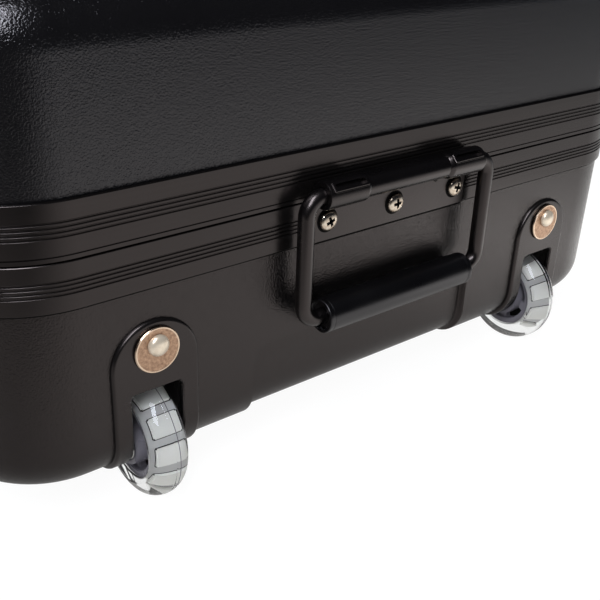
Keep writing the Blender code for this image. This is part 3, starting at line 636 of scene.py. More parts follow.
class Finish(Enum):
    """Every finish on the case."""

    SHELL = HaircellPlastic("haircell shell", (0.003, 0.0026, 0.0026), (0.0044, 0.0039, 0.0039))
    LID = HaircellPlastic(
        "haircell lid", (0.0032, 0.003, 0.0034), (0.0048, 0.0046, 0.005), COOL_GLOSS, grain_depth=0.23 * MM
    )
    VALANCE = SatinFinish(
        "black anodised extrusion",
        (0.0028, 0.0024, 0.0023),
        (0.004, 0.0035, 0.0034),
        (0.19, 0.27),
        lines=(9, 9, 700),
    )
    HOUSING = SatinFinish(
        "smooth black moulding", (0.003, 0.0027, 0.0027), (0.0042, 0.0038, 0.0038), (0.22, 0.3)
    )
    PAINTED = SatinFinish(
        "black painted steel", (0.0014, 0.0012, 0.0013), (0.002, 0.0018, 0.002), (0.25, 0.33), shine=0.62
    )
    GRIP = SatinFinish(
        "black grip plastic",
        (0.0013, 0.0012, 0.0014),
        (0.0019, 0.0018, 0.0021),
        (0.27, 0.35),
        gloss=COOL_GLOSS,
        shine=0.62,
    )
    NICKEL = MottledMetal("warm nickel", (0.72, 0.64, 0.53), (0.42, 0.29, 0.2), (0.22, 0.36), 420, 0.42)
    PALE_NICKEL = MottledMetal(
        "pale nickel", (0.8, 0.69, 0.54), (0.6, 0.48, 0.36), (0.3, 0.42), 260, 0.4, metallic=0.6
    )
    BRASS = MottledMetal(
        "tarnished washer", (0.53, 0.34, 0.225), (0.28, 0.17, 0.11), (0.3, 0.44), 560, 0.5, metallic=0.85
    )
    RIM = MottledMetal("worn washer rim", (0.74, 0.57, 0.43), (0.5, 0.36, 0.26), (0.24, 0.38), 520, 0.3)
    STEEL = MottledMetal("polished steel", (0.78, 0.78, 0.78), (0.55, 0.55, 0.56), (0.1, 0.2), 200, 0.3)
    BRIGHT = MottledMetal("bright plating", (0.7, 0.7, 0.7), (0.5, 0.5, 0.5), (0.16, 0.28), 200, 0.35)
    TYRE = ClearUrethane()
    TAB = SatinFinish(
        "cream core tabs", (0.87, 0.87, 0.83), (0.92, 0.92, 0.88), (0.35, 0.45), gloss=COOL_GLOSS
    )
    CORE = SatinFinish(
        "grey core nylon", (0.1, 0.095, 0.11), (0.17, 0.16, 0.18), (0.25, 0.35), gloss=COOL_GLOSS
    )
    BAND = SatinFinish("pale core band", (0.5, 0.5, 0.5), (0.6, 0.6, 0.59), (0.35, 0.45), gloss=COOL_GLOSS)
    RUBBER = SatinFinish("black rubber", (0.008, 0.008, 0.008), (0.014, 0.014, 0.014), (0.7, 0.85))
    # Painted shade: a near-black, barely reflective finish for strips and fills that stand for shadow in
    # gaps, recesses and under parts.
    DARK = SatinFinish(
        "black shadow gap", (0.002, 0.002, 0.002), (0.003, 0.003, 0.003), (0.7, 0.8), shine=0.08
    )
    FOAM = PlushFoam("charcoal plush foam", (0.035, 0.035, 0.038), (0.06, 0.06, 0.065))

    def material(self) -> bpy.types.Material:
        """The finish's material, built at its first use."""
        return bpy.data.materials.get(self.value.name) or self.value.build()


def finished(name: str, bm: Mesh, finish: Finish, smooth_under: float = 35) -> bpy.types.Object:
    """Make an object of a mesh, with its finish.

    Args:
        name: The piece's name.
        bm: Its mesh, in place. It is freed.
        finish: Its finish.
        smooth_under: Edges flatter than this, in degrees, are shaded smooth.

    Returns:
        The object, at the origin.
    """
    bmesh.ops.remove_doubles(bm, verts=bm.verts, dist=1e-7)
    bmesh.ops.recalc_face_normals(bm, faces=bm.faces)
    mesh = bpy.data.meshes.new(name)
    bm.to_mesh(mesh)
    bm.free()
    mesh.materials.append(finish.material())
    mesh.shade_smooth()
    mesh.set_sharp_from_angle(angle=math.radians(smooth_under))
    obj = bpy.data.objects.new(name, mesh)
    bpy.context.scene.collection.objects.link(obj)
    weighted = obj.modifiers.new("flat faces stay flat", "WEIGHTED_NORMAL")
    weighted.keep_sharp = True
    depsgraph = bpy.context.evaluated_depsgraph_get()
    obj.data = bpy.data.meshes.new_from_object(obj.evaluated_get(depsgraph))
    obj.modifiers.remove(weighted)
    bpy.data.meshes.remove(mesh)
    return obj


def fitted(obj: bpy.types.Object, body: str, slot: str, *nodes: str) -> bpy.types.Object:
    """Fit a finished piece to the frame.

    Args:
        obj: The piece.
        body: The body that it rides on.
        slot: The record's material slot. Not used.
        nodes: The CAD nodes that it stands for.

    Returns:
        The piece.
    """
    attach(obj, body)
    if nodes:
        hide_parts(*nodes)
    log.info("%s: %d faces on %s", obj.name, len(obj.data.polygons), body)
    return obj


def kept(node: str, finish: Finish) -> None:
    """Give a CAD node whose shape is right its finish.

    Args:
        node: The node's name.
        finish: The finish.
    """
    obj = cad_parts[node]
    for slot in obj.material_slots:
        slot.material = finish.material()
    log.info("%s: kept, in %s", node, finish.value.name)


# Geometry Nodes patterns


class NodeTree:
    """A Geometry Nodes tree under construction."""

    def __init__(self, name: str, inputs: Iterable[tuple[str, str]]) -> None:
        """Start a tree with geometry in and out, and further named inputs.

        Args:
            name: The tree's name.
            inputs: Name and socket type of each further input.
        """
        self.tree = bpy.data.node_groups.new(name, "GeometryNodeTree")
        face = self.tree.interface
        face.new_socket("Geometry", in_out="OUTPUT", socket_type="NodeSocketGeometry")
        face.new_socket("Geometry", in_out="INPUT", socket_type="NodeSocketGeometry")
        for label, kind in inputs:
            face.new_socket(label, in_out="INPUT", socket_type=kind)
        self.given = self.add("NodeGroupInput").outputs

    def add(self, kind: str, inputs: dict | None = None, **settings: object) -> bpy.types.Node:
        """Add a node with its inputs and settings.

        Args:
            kind: The node's type.
            inputs: Values or sockets, by input name.
            settings: The node's own settings.

        Returns:
            The node.
        """
        node = self.tree.nodes.new(kind)
        for key, value in settings.items():
            setattr(node, key, value)
        for key, value in (inputs or {}).items():
            if isinstance(value, bpy.types.NodeSocket):
                self.tree.links.new(value, node.inputs[key])
            else:
                node.inputs[key].default_value = value
        return node

    def end(self, instances: bpy.types.NodeSocket) -> bpy.types.NodeTree:
        """Realize the instances, set their material and close the tree.

        Args:
            instances: The instances' socket.

        Returns:
            The finished tree.
        """
        real = self.add("GeometryNodeRealizeInstances", {"Geometry": instances}).outputs["Geometry"]
        painted = self.add("GeometryNodeSetMaterial", {"Geometry": real, "Material": self.given["Material"]})
        self.add("NodeGroupOutput", {"Geometry": painted.outputs["Geometry"]})
        return self.tree


def scatter_tree() -> bpy.types.NodeTree:
    """Build the tree that sets a copy of a head on each point, facing out and turned by its own spin.

    Returns:
        The tree.
    """
    t = NodeTree("set heads on points", (("Head", "NodeSocketObject"), ("Material", "NodeSocketMaterial")))
    head = t.add("GeometryNodeObjectInfo", {"Object": t.given["Head"]}).outputs["Geometry"]
    facing = t.add("GeometryNodeInputNamedAttribute", {"Name": "facing"}, data_type="FLOAT_VECTOR")
    spin = t.add("GeometryNodeInputNamedAttribute", {"Name": "spin"}, data_type="FLOAT")
    aligned = t.add("FunctionNodeAlignRotationToVector", {"Vector": facing.outputs["Attribute"]}, axis="Z")
    turn = t.add("FunctionNodeAxisAngleToRotation", {"Axis": (0, 0, 1), "Angle": spin.outputs["Attribute"]})
    both = t.add(
        "FunctionNodeRotateRotation",
        {"Rotation": aligned.outputs["Rotation"], "Rotate By": turn.outputs["Rotation"]},
        rotation_space="LOCAL",
    )
    copies = t.add(
        "GeometryNodeInstanceOnPoints",
        {"Points": t.given["Geometry"], "Instance": head, "Rotation": both.outputs["Rotation"]},
    )
    return t.end(copies.outputs["Instances"])


def radial_tree() -> bpy.types.NodeTree:
    """Build the tree that repeats a blade evenly about the Z axis.

    Returns:
        The tree.
    """
    sockets = (
        ("Blade", "NodeSocketObject"),
        ("Count", "NodeSocketInt"),
        ("Step", "NodeSocketFloat"),
        ("Material", "NodeSocketMaterial"),
    )
    t = NodeTree("repeat about an axis", sockets)
    blade = t.add("GeometryNodeObjectInfo", {"Object": t.given["Blade"]}).outputs["Geometry"]
    line = t.add("GeometryNodeMeshLine", {"Count": t.given["Count"], "Offset": (0, 0, 0)}).outputs["Mesh"]
    index = t.add("GeometryNodeInputIndex").outputs["Index"]
    angle = t.add("ShaderNodeMath", {0: index, 1: t.given["Step"]}, operation="MULTIPLY").outputs[0]
    turn = t.add("FunctionNodeAxisAngleToRotation", {"Axis": (0, 0, 1), "Angle": angle}).outputs["Rotation"]
    copies = t.add("GeometryNodeInstanceOnPoints", {"Points": line, "Instance": blade, "Rotation": turn})
    return t.end(copies.outputs["Instances"])


class Patterns:
    """Runs the pattern trees and hands back plain meshes."""

    def __init__(self) -> None:
        """Build both trees."""
        self.scatter = scatter_tree()
        self.radial = radial_tree()

    def run(self, tree: bpy.types.NodeTree, base: bpy.types.Mesh, values: dict[str, object]) -> Mesh:
        """Run a tree on a mesh.

        Args:
            tree: The tree.
            base: The mesh that it starts from.
            values: Its inputs, by name.

        Returns:
            The result, with its modifier gone.
        """
        obj = bpy.data.objects.new("pattern", base)
        bpy.context.scene.collection.objects.link(obj)
        modifier = obj.modifiers.new("pattern", "NODES")
        modifier.node_group = tree
        for item in tree.interface.items_tree:
            if item.in_out == "INPUT" and item.name in values:
                modifier[item.identifier] = values[item.name]
        depsgraph = bpy.context.evaluated_depsgraph_get()
        result = bpy.data.meshes.new_from_object(obj.evaluated_get(depsgraph))
        obj.modifiers.remove(modifier)
        bm = bmesh.new()
        bm.from_mesh(result)
        bpy.data.objects.remove(obj)
        bpy.data.meshes.remove(base)
        bpy.data.meshes.remove(result)
        return bm

    def heads(self, head: Mesh, spots: Sequence[tuple[Point, Point, float]], finish: Finish) -> Mesh:
        """Set copies of a head.

        Args:
            head: The head, with +Z outwards. It is freed.
            spots: Place, facing and spin of each copy.
            finish: The finish that the tree sets.

        Returns:
            One mesh with all copies.
        """
        mesh = bpy.data.meshes.new("points")
        mesh.from_pydata([place for place, _, _ in spots], [], [])
        mesh.attributes.new("facing", "FLOAT_VECTOR", "POINT")
        mesh.attributes.new("spin", "FLOAT", "POINT")
        directions = [value for _, direction, _ in spots for value in direction]
        mesh.attributes["facing"].data.foreach_set("vector", directions)
        mesh.attributes["spin"].data.foreach_set("value", [turn for _, _, turn in spots])
        return self.with_part(self.scatter, mesh, "Head", head, {"Material": finish.material()})

    def around(self, blade: Mesh, count: int, finish: Finish) -> Mesh:
        """Repeat a blade evenly about the Z axis."""
        values = {"Count": count, "Step": 2 * math.pi / count, "Material": finish.material()}
        return self.with_part(self.radial, bpy.data.meshes.new("start"), "Blade", blade, values)

    def with_part(
        self,
        tree: bpy.types.NodeTree,
        base: bpy.types.Mesh,
        socket: str,
        part: Mesh,
        values: dict[str, object],
    ) -> Mesh:
        """Run a tree that copies one part.

        Args:
            tree: The tree.
            base: The mesh that it starts from.
            socket: The input that takes the part.
            part: The part. It is freed.
            values: Its other inputs, by name.

        Returns:
            All copies in one mesh.
        """
        mesh = bpy.data.meshes.new("copied part")
        part.to_mesh(mesh)
        part.free()
        obj = bpy.data.objects.new("copied part", mesh)
        bpy.context.scene.collection.objects.link(obj)
        result = self.run(tree, base, {**values, socket: obj})
        bpy.data.objects.remove(obj)
        bpy.data.meshes.remove(mesh)
        return result


# Sub-assemblies


@dataclass
class Tubs:
    """The two moulded shells, with the recess pressed into the base's ends."""

    base_setback: float = 1.8 * MM
    lid_setback: float = 2.6 * MM
    rim_gap: float = 3.7 * MM
    recess_half: float = 86 * MM
    recess_top: float = 73 * MM
    recess_corner: float = 8 * MM
    recess_depth: float = 4 * MM
    recess_rise: float = 2.2 * MM
    recess_off_middle: float = -4.5 * MM
    recess_reach: float = 56 * MM
    recess_slope: float = 2.0 * MM
    edge_steps: int = 12
    well_cut_x: float = 0.686
    well_cut_half: float = 19 * MM
    well_cut_top: float = 76.5 * MM
    lid_marks: tuple[float, ...] = (-100 * MM, 0, 100 * MM)
    lid_level: float = 0.19
    flat_from: float = 50 * MM

    def rings(
        self,
        setback: float,
        rim: float,
        floor: float,
        edge: float,
        marks: Sequence[float],
        levels: Sequence[float],
    ) -> list[list[Point]]:
        """Rings of one skin, from rim to floor.

        Args:
            setback: How far the rim lies inside the valance's face.
            rim: The rim's height.
            floor: The floor's height.
            edge: The rounded edge's radius.
            marks: Places across each end that get a point.
            levels: Extra heights on the wall.

        Returns:
            The rings.
        """
        up = 1 if rim > floor else -1
        wall_end = floor + up * edge
        slope = math.tan(CASE.draft)
        rings = [case_ring(setback + abs(rim - z) * slope, z, marks) for z in (rim, *levels, wall_end)]
        start = setback + abs(rim - wall_end) * slope
        for i in range(1, self.edge_steps + 1):
            angle = math.pi / 2 * i / self.edge_steps
            inset = start + edge * (1 - math.cos(angle))
            rings.append(case_ring(inset, wall_end - up * edge * math.sin(angle), marks))
        return rings

    def recessed(self, ring: list[Point], edge_top: float) -> list[Point]:
        """Press the end recess into a ring of the base.

        Args:
            ring: The ring.
            edge_top: The height at which the rounded edge starts.

        Returns:
            The pressed ring.
        """
        half = self.recess_half - self.recess_corner
        top = self.recess_top - self.recess_corner
        pressed = []
        for x, y, z in ring:
            dy = abs(y - CASE.middle_y - self.recess_off_middle) - half
            dz = z - top
            outside = math.hypot(max(dy, 0), max(dz, 0)) + min(max(dy, dz), 0) - self.recess_corner
            share = smoothstep(0.5 - outside / self.recess_slope)
            inner_end = CASE.half_length - self.recess_reach
            share *= smoothstep((abs(x) - inner_end) / (2 * self.recess_slope))
            level = smoothstep((edge_top - z) / CASE.edge)
            pushed = math.copysign(self.recess_depth * share * (1 - 0.5 * level), x)
            pressed.append((x - pushed, y, z + self.recess_rise * share * level))
        return pressed

    def base_mesh(self) -> Mesh:
        """The base shell, with its recesses and the holes for the wheel wells.

        Returns:
            The shell.
        """
        fine = [0.5 * i for i in range(25)]
        marks = [side * m * MM for m in (0, 40, 70, 110, 150) for side in (-1, 1)]
        ends = [side * (76 + step) * MM for step in fine for side in (-1, 1)]
        marks = sorted({*marks, *(end + self.recess_off_middle for end in ends)})
        rim = CASE.parting_z - self.rim_gap
        levels = [120 * MM, 95 * MM, 82 * MM, *((76 - step) * MM for step in fine), 59 * MM, 54 * MM]
        skins = []
        for deeper in (0.0, CASE.wall):
            edge = CASE.edge - deeper
            rings = self.rings(self.base_setback + deeper, rim, CASE.floor_z + deeper, edge, marks, levels)
            for inset in (46, 53, 54, 55, 56, 57, 58):
                rings.append(case_ring(inset * MM, CASE.floor_z + deeper, marks))
            skins.append([self.recessed(ring, CASE.floor_z + CASE.edge) for ring in rings])
        bm = skin(skins[0][::-1] + skins[1])
        cutters = []
        for side in Side:
            y = WheelSet.track * side.value + CASE.middle_y
            low = (self.well_cut_x, y - self.well_cut_half, 0)
            cutters.append(box(low, (0.78, y + self.well_cut_half, self.well_cut_top)))
        return carved(bm, *cutters)

    def lid_mesh(self) -> Mesh:
        """The lid shell.

        Returns:
            The shell.
        """
        rim = CASE.parting_z + self.rim_gap
        skins = []
        for deeper in (0.0, CASE.wall):
            edge = CASE.edge - deeper
            top = CASE.top_z - deeper
            rings = self.rings(self.lid_setback + deeper, rim, top, edge, self.lid_marks, (self.lid_level,))
            rings.append(case_ring(self.flat_from, top, self.lid_marks))
            skins.append(rings)
        return skin(skins[0][::-1] + skins[1])

    def build(self) -> None:
        """Build and fit both shells."""
        base = finished("moulded_base", self.base_mesh(), Finish.SHELL, 50)
        fitted(base, "case_base", "moulded_shell", "base_shell")
        lid = finished("moulded_lid", self.lid_mesh(), Finish.LID, 50)
        fitted(lid, "lid", "moulded_shell", "lid_shell")


@dataclass
class Valances:
    """The grooved extrusions round both rims, the seal between them and a strip of painted shadow under the
    base valance.
    """

    gap: float = 0.8 * MM
    lower_height: float = 24.3 * MM
    upper_height: float = 28.0 * MM
    lower_wall: float = 1.4 * MM
    upper_wall: float = 2.0 * MM
    web: float = 3.0 * MM
    leg: float = 1.8 * MM
    leg_depth: float = 14 * MM
    round_over: float = 0.3 * MM
    groove_depth: float = 0.7 * MM
    groove_half: float = 0.62 * MM
    upper_grooves: tuple[float, ...] = (12.0 * MM, 14.25 * MM, 16.5 * MM, 18.75 * MM)
    lower_grooves: tuple[float, ...] = (9.3 * MM, 11.4 * MM, 13.6 * MM, 15.7 * MM)
    lip_line: float = 2.95 * MM
    # How far the strip of painted shadow reaches below the base valance's foot.
    seam: float = 1.1 * MM
    seal_inset: float = 3.0 * MM
    seal_width: float = 3.0 * MM
    seal_height: float = 1.6 * MM

    def face(self, up: int) -> list[Pair]:
        """The outer face from the parting to its far edge, with its grooves.

        Args:
            up: 1 for the lid's valance, -1 for the base's.

        Returns:
            (inset, height) points.
        """
        start = self.gap / 2
        points = [(0.25 * MM, start), (0.0, start + 0.25 * MM)]
        grooves = self.upper_grooves if up > 0 else self.lower_grooves
        if up > 0:
            line = self.lip_line
            points += [(0.0, line - 0.4 * MM), (0.7 * MM, line - 0.2 * MM), (0.7 * MM, line + 0.2 * MM)]
            points += [(0.0, line + 0.4 * MM)]
        depth, half = self.groove_depth, self.groove_half
        for middle in grooves:
            side = ((0.0, 1.0), (0.12 * MM, 0.8), (0.85 * depth, 0.42), (depth, 0.2))
            points += [(inset, middle - share * half) for inset, share in side]
            points += [(inset, middle + share * half) for inset, share in reversed(side)]
        far = self.upper_height if up > 0 else self.lower_height
        rounding = arc((self.round_over, far - self.round_over), self.round_over, 180, 90, 4)
        return [(inset, CASE.parting_z + up * z) for inset, z in points + rounding]

    def section(self, up: int) -> list[Pair]:
        """The whole closed section of one valance.

        Args:
            up: 1 for the lid's valance, -1 for the base's.

        Returns:
            (inset, z) points.
        """
        p = CASE.parting_z
        setback = Tubs.lid_setback if up > 0 else Tubs.base_setback
        wall = self.upper_wall if up > 0 else self.lower_wall
        far = self.upper_height if up > 0 else self.lower_height
        leg = setback + CASE.wall + 0.6 * MM
        start = self.gap / 2
        web = start + self.web
        points = self.face(up)
        inner = [(wall, far), (wall, web), (leg, web), (leg, self.leg_depth)]
        inner += [(leg + self.leg, self.leg_depth), (leg + self.leg, start)]
        if up < 0:
            low, out = self.seal_height + 0.3 * MM, self.seal_inset - 0.3 * MM
            inside = self.seal_inset + self.seal_width + 0.3 * MM
            inner += [(inside, start), (inside, start + low), (out, start + low), (out, start)]
        return points + [(inset, p + up * z) for inset, z in inner]

    def ring(self, section: Sequence[Pair]) -> Mesh:
        """Carry a section round the case."""
        return skin([case_ring(inset, z, steps=24) for inset, z in section], closed=True)

    def build(self) -> None:
        """Build and fit both valances and the seal."""
        lower = finished("grooved_base_valance", self.ring(self.section(-1)), Finish.VALANCE)
        fitted(lower, "case_base", "valance", "base_valance")
        upper = finished("grooved_lid_valance", self.ring(self.section(1)), Finish.VALANCE)
        fitted(upper, "lid", "valance", "lid_valance")
        # Painted shadow: a near-black strip under the base valance's foot stands for the shadow line between
        # the valance and the shell.
        foot = CASE.parting_z - self.lower_height
        high, low = foot + 0.4 * MM, foot - self.seam
        seam = [(0.5 * MM, high), (1.3 * MM, low), (2.6 * MM, low), (2.6 * MM, high)]
        fitted(finished("base_seam_bead", self.ring(seam), Finish.DARK), "case_base", "valance")
        low = CASE.parting_z - self.gap / 2 - self.seal_height
        high = CASE.parting_z + self.gap / 2 - 0.3 * MM
        crown = arc((self.seal_inset + 1.5 * MM, high - 1.0 * MM), 1.5 * MM, 180, 0, 8)
        crown = [(inset, min(z, high)) for inset, z in crown]
        section = [(self.seal_inset, low), *crown, (self.seal_inset + self.seal_width, low)]
        seal = finished("rim_seal_strip", self.ring(section), Finish.RUBBER)
        fitted(seal, "case_base", "seal_rubber", "rim_seal")


@dataclass
class Linings:
    """Plush foam trays in the base and the lid."""

    wall: float = 10 * MM
    floor: float = 12 * MM
    slack: float = 0.6 * MM
    block: float = 72 * MM
    roll: float = 4 * MM
    steps: int = 16

    def bay_ring(self, inset: float, z: float, extra: float) -> list[Point]:
        """A ring of the hollow, which keeps a thicker block at the wheel end.

        Args:
            inset: How far inside the valance's face it runs.
            z: Its height.
            extra: How far it reaches into the block.

        Returns:
            The ring's points.
        """
        left = -CASE.half_length + inset
        right = CASE.half_length - self.block + extra
        low, high = CASE.middle_y - CASE.half_width + inset, CASE.middle_y + CASE.half_width - inset
        radius = max(CASE.corner - inset, 8 * MM)
        points: list[Pair] = []
        corners = ((right, high), (left, high), (left, low), (right, low))
        for quarter, ((x, y), (sx, sy)) in enumerate(zip(corners, ((1, 1), (-1, 1), (-1, -1), (1, -1)))):
            centre = (x - sx * radius, y - sy * radius)
            points += arc(centre, radius, 90 * quarter, 90 * quarter + 90, self.steps)
        return [(x, y, z) for x, y in points]

    def tray(self, setback: float, rim: float, floor: float) -> Mesh:
        """One foam tray with a rolled lip.

        Args:
            setback: How far its outside lies inside the valance's face.
            rim: The lip's height.
            floor: The height of its outer floor.

        Returns:
            The tray.
        """
        up = 1 if rim > floor else -1
        edge = CASE.edge - CASE.wall
        wall_end = floor + up * edge
        slope = abs(rim - wall_end) * math.tan(CASE.draft)
        rings = []
        for i in range(8, -1, -1):
            angle = math.pi / 2 * i / 8
            inset = setback + slope + edge * (1 - math.cos(angle))
            rings.append(case_ring(inset, wall_end - up * edge * math.sin(angle), steps=self.steps))
        rings.append(case_ring(setback, rim - up * self.roll, steps=self.steps))
        for i in range(1, 5):
            angle = math.pi / 2 * i / 4
            inset = setback + self.roll * (1 - math.cos(angle))
            rings.append(case_ring(inset, rim - up * self.roll * (1 - math.sin(angle)), steps=self.steps))
        inner = setback + self.wall
        for i in range(5):
            angle = math.pi / 2 * i / 4
            back = self.roll * (1 - math.sin(angle))
            rings.append(self.bay_ring(inner - back, rim - up * self.roll * (1 - math.cos(angle)), back))
        low = floor + up * self.floor
        for i in range(5):
            angle = math.pi / 2 * i / 4
            inset = inner + self.roll * (1 - math.cos(angle))
            rings.append(self.bay_ring(inset, low + up * self.roll * (1 - math.sin(angle)), inner - inset))
        return skin(rings)

    def build(self) -> None:
        """Build and fit both linings."""
        rim = 14.3 * MM
        shell = CASE.wall + self.slack
        base = self.tray(
            Tubs.base_setback + shell + Tubs.recess_depth,
            CASE.parting_z - rim,
            CASE.floor_z + shell + Tubs.recess_rise,
        )
        cutters = []
        for side in Side:
            y = WheelSet.track * side.value + CASE.middle_y
            cutters.append(box((0.6855, y - 20 * MM, 0), (0.8, y + 20 * MM, 107.5 * MM)))
        piece = finished("base_plush", carved(base, *cutters), Finish.FOAM, 50)
        fitted(piece, "case_base", "foam", "base_lining")
        lid = self.tray(Tubs.lid_setback + shell, CASE.parting_z + rim, CASE.top_z - shell)
        piece = finished("lid_plush", lid, Finish.FOAM, 50)
        fitted(piece, "lid", "foam", "lid_lining")


@dataclass
class WheelSet:
    """A clear skate wheel in its moulded housing, with the riveted washer above it."""

    side: Side
    patterns: Patterns
    track = 153.6 * MM
    behind_face: float = 18.4 * MM
    radius: float = 35 * MM
    half_width: float = 12 * MM
    tyre_half: float = 11.2 * MM
    crown: float = 10 * MM
    bore: float = 22.3 * MM
    core_radius: float = 23.8 * MM
    tab_pairs: int = 5
    tab_angle: float = 24.0
    tab_slit: float = 11.0
    tab_height: float = 1.5 * MM
    tab_half_width: float = 6.1 * MM
    tab_shift: float = 1.3 * MM
    spokes: int = 5
    spoke_turn: float = -56.0
    housing_half: float = 25 * MM
    proud: float = 2.2 * MM
    arch_z: float = 86.5 * MM
    opening_half: float = 14.85 * MM
    opening_top: float = 72.5 * MM
    well_wall: float = 2.5 * MM
    well_depth: float = 58 * MM
    edge_inset: float = 2.0 * MM
    edge_drop: float = 2.0 * MM
    thickness: float = 3.6 * MM
    washer_z: float = 95.5 * MM
    washer_radius: float = 12.7 * MM
    rivet_above: float = 3.0 * MM
    rivet_radius: float = 5.8 * MM
    turns: tuple[float, float] = (-19.6, 35.0)

    @property
    def turn(self) -> float:
        """Where the wheel happens to have stopped, in degrees."""
        return self.turns[0 if self.side is Side.FRONT else 1]

    @property
    def y(self) -> float:
        """The wheel's middle across the case."""
        return self.side.value * self.track + CASE.middle_y

    @property
    def bend_radius(self) -> float:
        """Radius of the housing's face where it turns under the case."""
        return CASE.edge + self.proud

    @property
    def start_x(self) -> float:
        """Where the housing's flange starts under the case."""
        return CASE.half_length - self.well_depth - self.well_wall - 3 * MM

    def bent(self, along: float, out: float) -> Pair:
        """A point of the flange's side view.

        Args:
            along: Distance along the face, from its inner end under the case to the top of the arch.
            out: Height over the face.

        Returns:
            x and z.
        """
        radius = self.bend_radius
        low = CASE.floor_z - self.proud
        flat = CASE.half_length - radius - self.start_x
        quarter = radius * math.pi / 2
        if along <= flat:
            return self.start_x + along, low - out
        if along >= flat + quarter:
            return CASE.half_length + out, low + radius + along - flat - quarter
        angle = (along - flat) / radius - math.pi / 2
        centre = (CASE.half_length - radius, low + radius)
        return centre[0] + (radius + out) * math.cos(angle), centre[1] + (radius + out) * math.sin(angle)

    def along_at(self, z: float) -> float:
        """Distance along the face at a height on its upright part.

        Args:
            z: The height over the floor.

        Returns:
            The distance from the face's inner end.
        """
        radius = self.bend_radius
        low = CASE.floor_z - self.proud
        return CASE.half_length - radius - self.start_x + radius * math.pi / 2 + z - (low + radius)

    def arch(self, inset: float) -> list[Pair]:
        """The flange's flattened outline, made smaller by an inset."""
        half = self.housing_half - inset
        return [(-half, inset), (half, inset), *arc((0, self.along_at(self.arch_z)), half, 0, 180, 40)]

    def flange(self) -> Mesh:
        """The housing's face: a flat plate with a rounded edge, cut for the wheel and bent under the case.

        Returns:
            The face.
        """
        levels = [(0.0, -self.thickness)]
        turns = 6
        for i in range(turns + 1):
            angle = math.pi / 2 * i / turns
            levels.append((self.edge_inset * (1 - math.cos(angle)), self.edge_drop * (math.sin(angle) - 1)))
        rings = [[(u, v, out) for u, v in self.arch(inset)] for inset, out in levels]
        plate = skin(rings)
        half, corner, chamfer = self.opening_half, 3 * MM, 0.7 * MM
        rings = []
        for grow, out in ((0, -self.thickness - MM), (0, -chamfer), (chamfer, 0), (chamfer + MM, MM)):
            wide, top = half + grow, self.along_at(self.opening_top) + grow
            outline = [(-wide, 8 * MM - grow), (wide, 8 * MM - grow)]
            outline += arc((wide - corner, top - corner), corner, 0, 90, 8)
            outline += arc((corner - wide, top - corner), corner, 90, 180, 8)
            rings.append([(u, v, out) for u, v in outline])
        plate = carved(plate, skin(rings))
        flat = CASE.half_length - self.bend_radius - self.start_x
        cuts = 24
        for i in range(cuts + 1):
            place = flat + self.bend_radius * math.pi / 2 * i / cuts
            geometry = [*plate.verts, *plate.edges, *plate.faces]
            bmesh.ops.bisect_plane(
                plate, geom=geometry, plane_co=(0, place, 0), plane_no=(0, 1, 0), dist=1e-7
            )
        for vert in plate.verts:
            u, along, out = vert.co
            x, z = self.bent(along, out)
            vert.co = (x, self.y + u, z)
        return plate

    def well(self) -> Mesh:
        """The box behind the flange in which the wheel turns.

        Returns:
            The well.
        """
        back = CASE.half_length - self.well_depth
        outer = self.opening_half + self.well_wall
        shell = box(
            (back - self.well_wall, self.y - outer, 10 * MM),
            (CASE.half_length - 2 * MM, self.y + outer, self.opening_top + self.well_wall),
        )
        hollow = box(
            (back, self.y - self.opening_half, 0),
            (0.8, self.y + self.opening_half, self.opening_top + 0.3 * MM),
        )
        shell = carved(shell, hollow)
        steps = 40
        reach = self.along_at(self.arch_z)
        outline = [self.bent(reach * i / steps, -2.5 * MM) for i in range(steps + 1)]
        outline += [(self.start_x, outline[-1][1])]
        return carved(shell, prism(outline, "Y", self.y - 30 * MM, self.y + 30 * MM), operation="INTERSECT")

    def housing(self) -> None:
        """Build and fit the housing."""
        bm = joined(self.flange(), self.well())
        piece = finished(f"wheel_housing_moulding_{self.side.word}", bm, Finish.HOUSING, 24)
        fitted(piece, "case_base", "wheel_housing", f"wheel_housing_{self.side.word}")

    def fixing(self) -> None:
        """Build and fit the washer, its paler rim and the domed rivet."""
        word = self.side.word
        spot = (CASE.half_length, self.y, self.washer_z)
        outwards = Matrix.Translation(spot) @ Matrix.Rotation(math.pi / 2, 4, "Y")
        low, high, r = 0.3 * MM, 1.9 * MM, self.washer_radius
        hole = 2.7 * MM
        edge = [(r - 0.25 * MM, low), (r, low + 0.4 * MM), (r, high - 0.5 * MM)]
        edge.append((r - 0.35 * MM, high - 0.08 * MM))
        dished = [(r - 1.5 * MM, high - 0.12 * MM), (8 * MM, high - 0.2 * MM), (hole, high - 0.1 * MM)]
        disc = [(hole, low), *edge[:2], (r, high - 0.6 * MM), (r - 0.5 * MM, high - 0.15 * MM), *dished]
        washer = finished(f"big_washer_{word}", moved(turned(disc, 96), outwards), Finish.BRASS)
        fitted(washer, "case_base", "washer_brass", f"washer_{word}")
        rim_top = [(r - 0.8 * MM, high + 0.02 * MM), (r - 1.1 * MM, high - 0.1 * MM)]
        band = [(r - 1.1 * MM, low + 0.2 * MM), *edge, *rim_top]
        rim = finished(f"washer_rim_{word}", moved(turned(band, 96), outwards), Finish.RIM)
        fitted(rim, "case_base", "washer_brass")
        r = self.rivet_radius
        profile = [(0.0, 0.0), (2.4 * MM, 0.0), (2.4 * MM, high), (r, high + 0.05 * MM), (r, high + 0.7 * MM)]
        steps = 10
        for i in range(1, steps):
            angle = math.pi / 2 * i / steps
            profile.append((r * math.cos(angle), high + 0.7 * MM + 3.2 * MM * math.sin(angle)))
        profile.append((0.0, high + 3.9 * MM))
        raised = Matrix.Translation((0, 0, self.rivet_above)) @ outwards
        rivet = finished(f"domed_rivet_{word}", moved(turned(profile, 64), raised), Finish.PALE_NICKEL, 50)
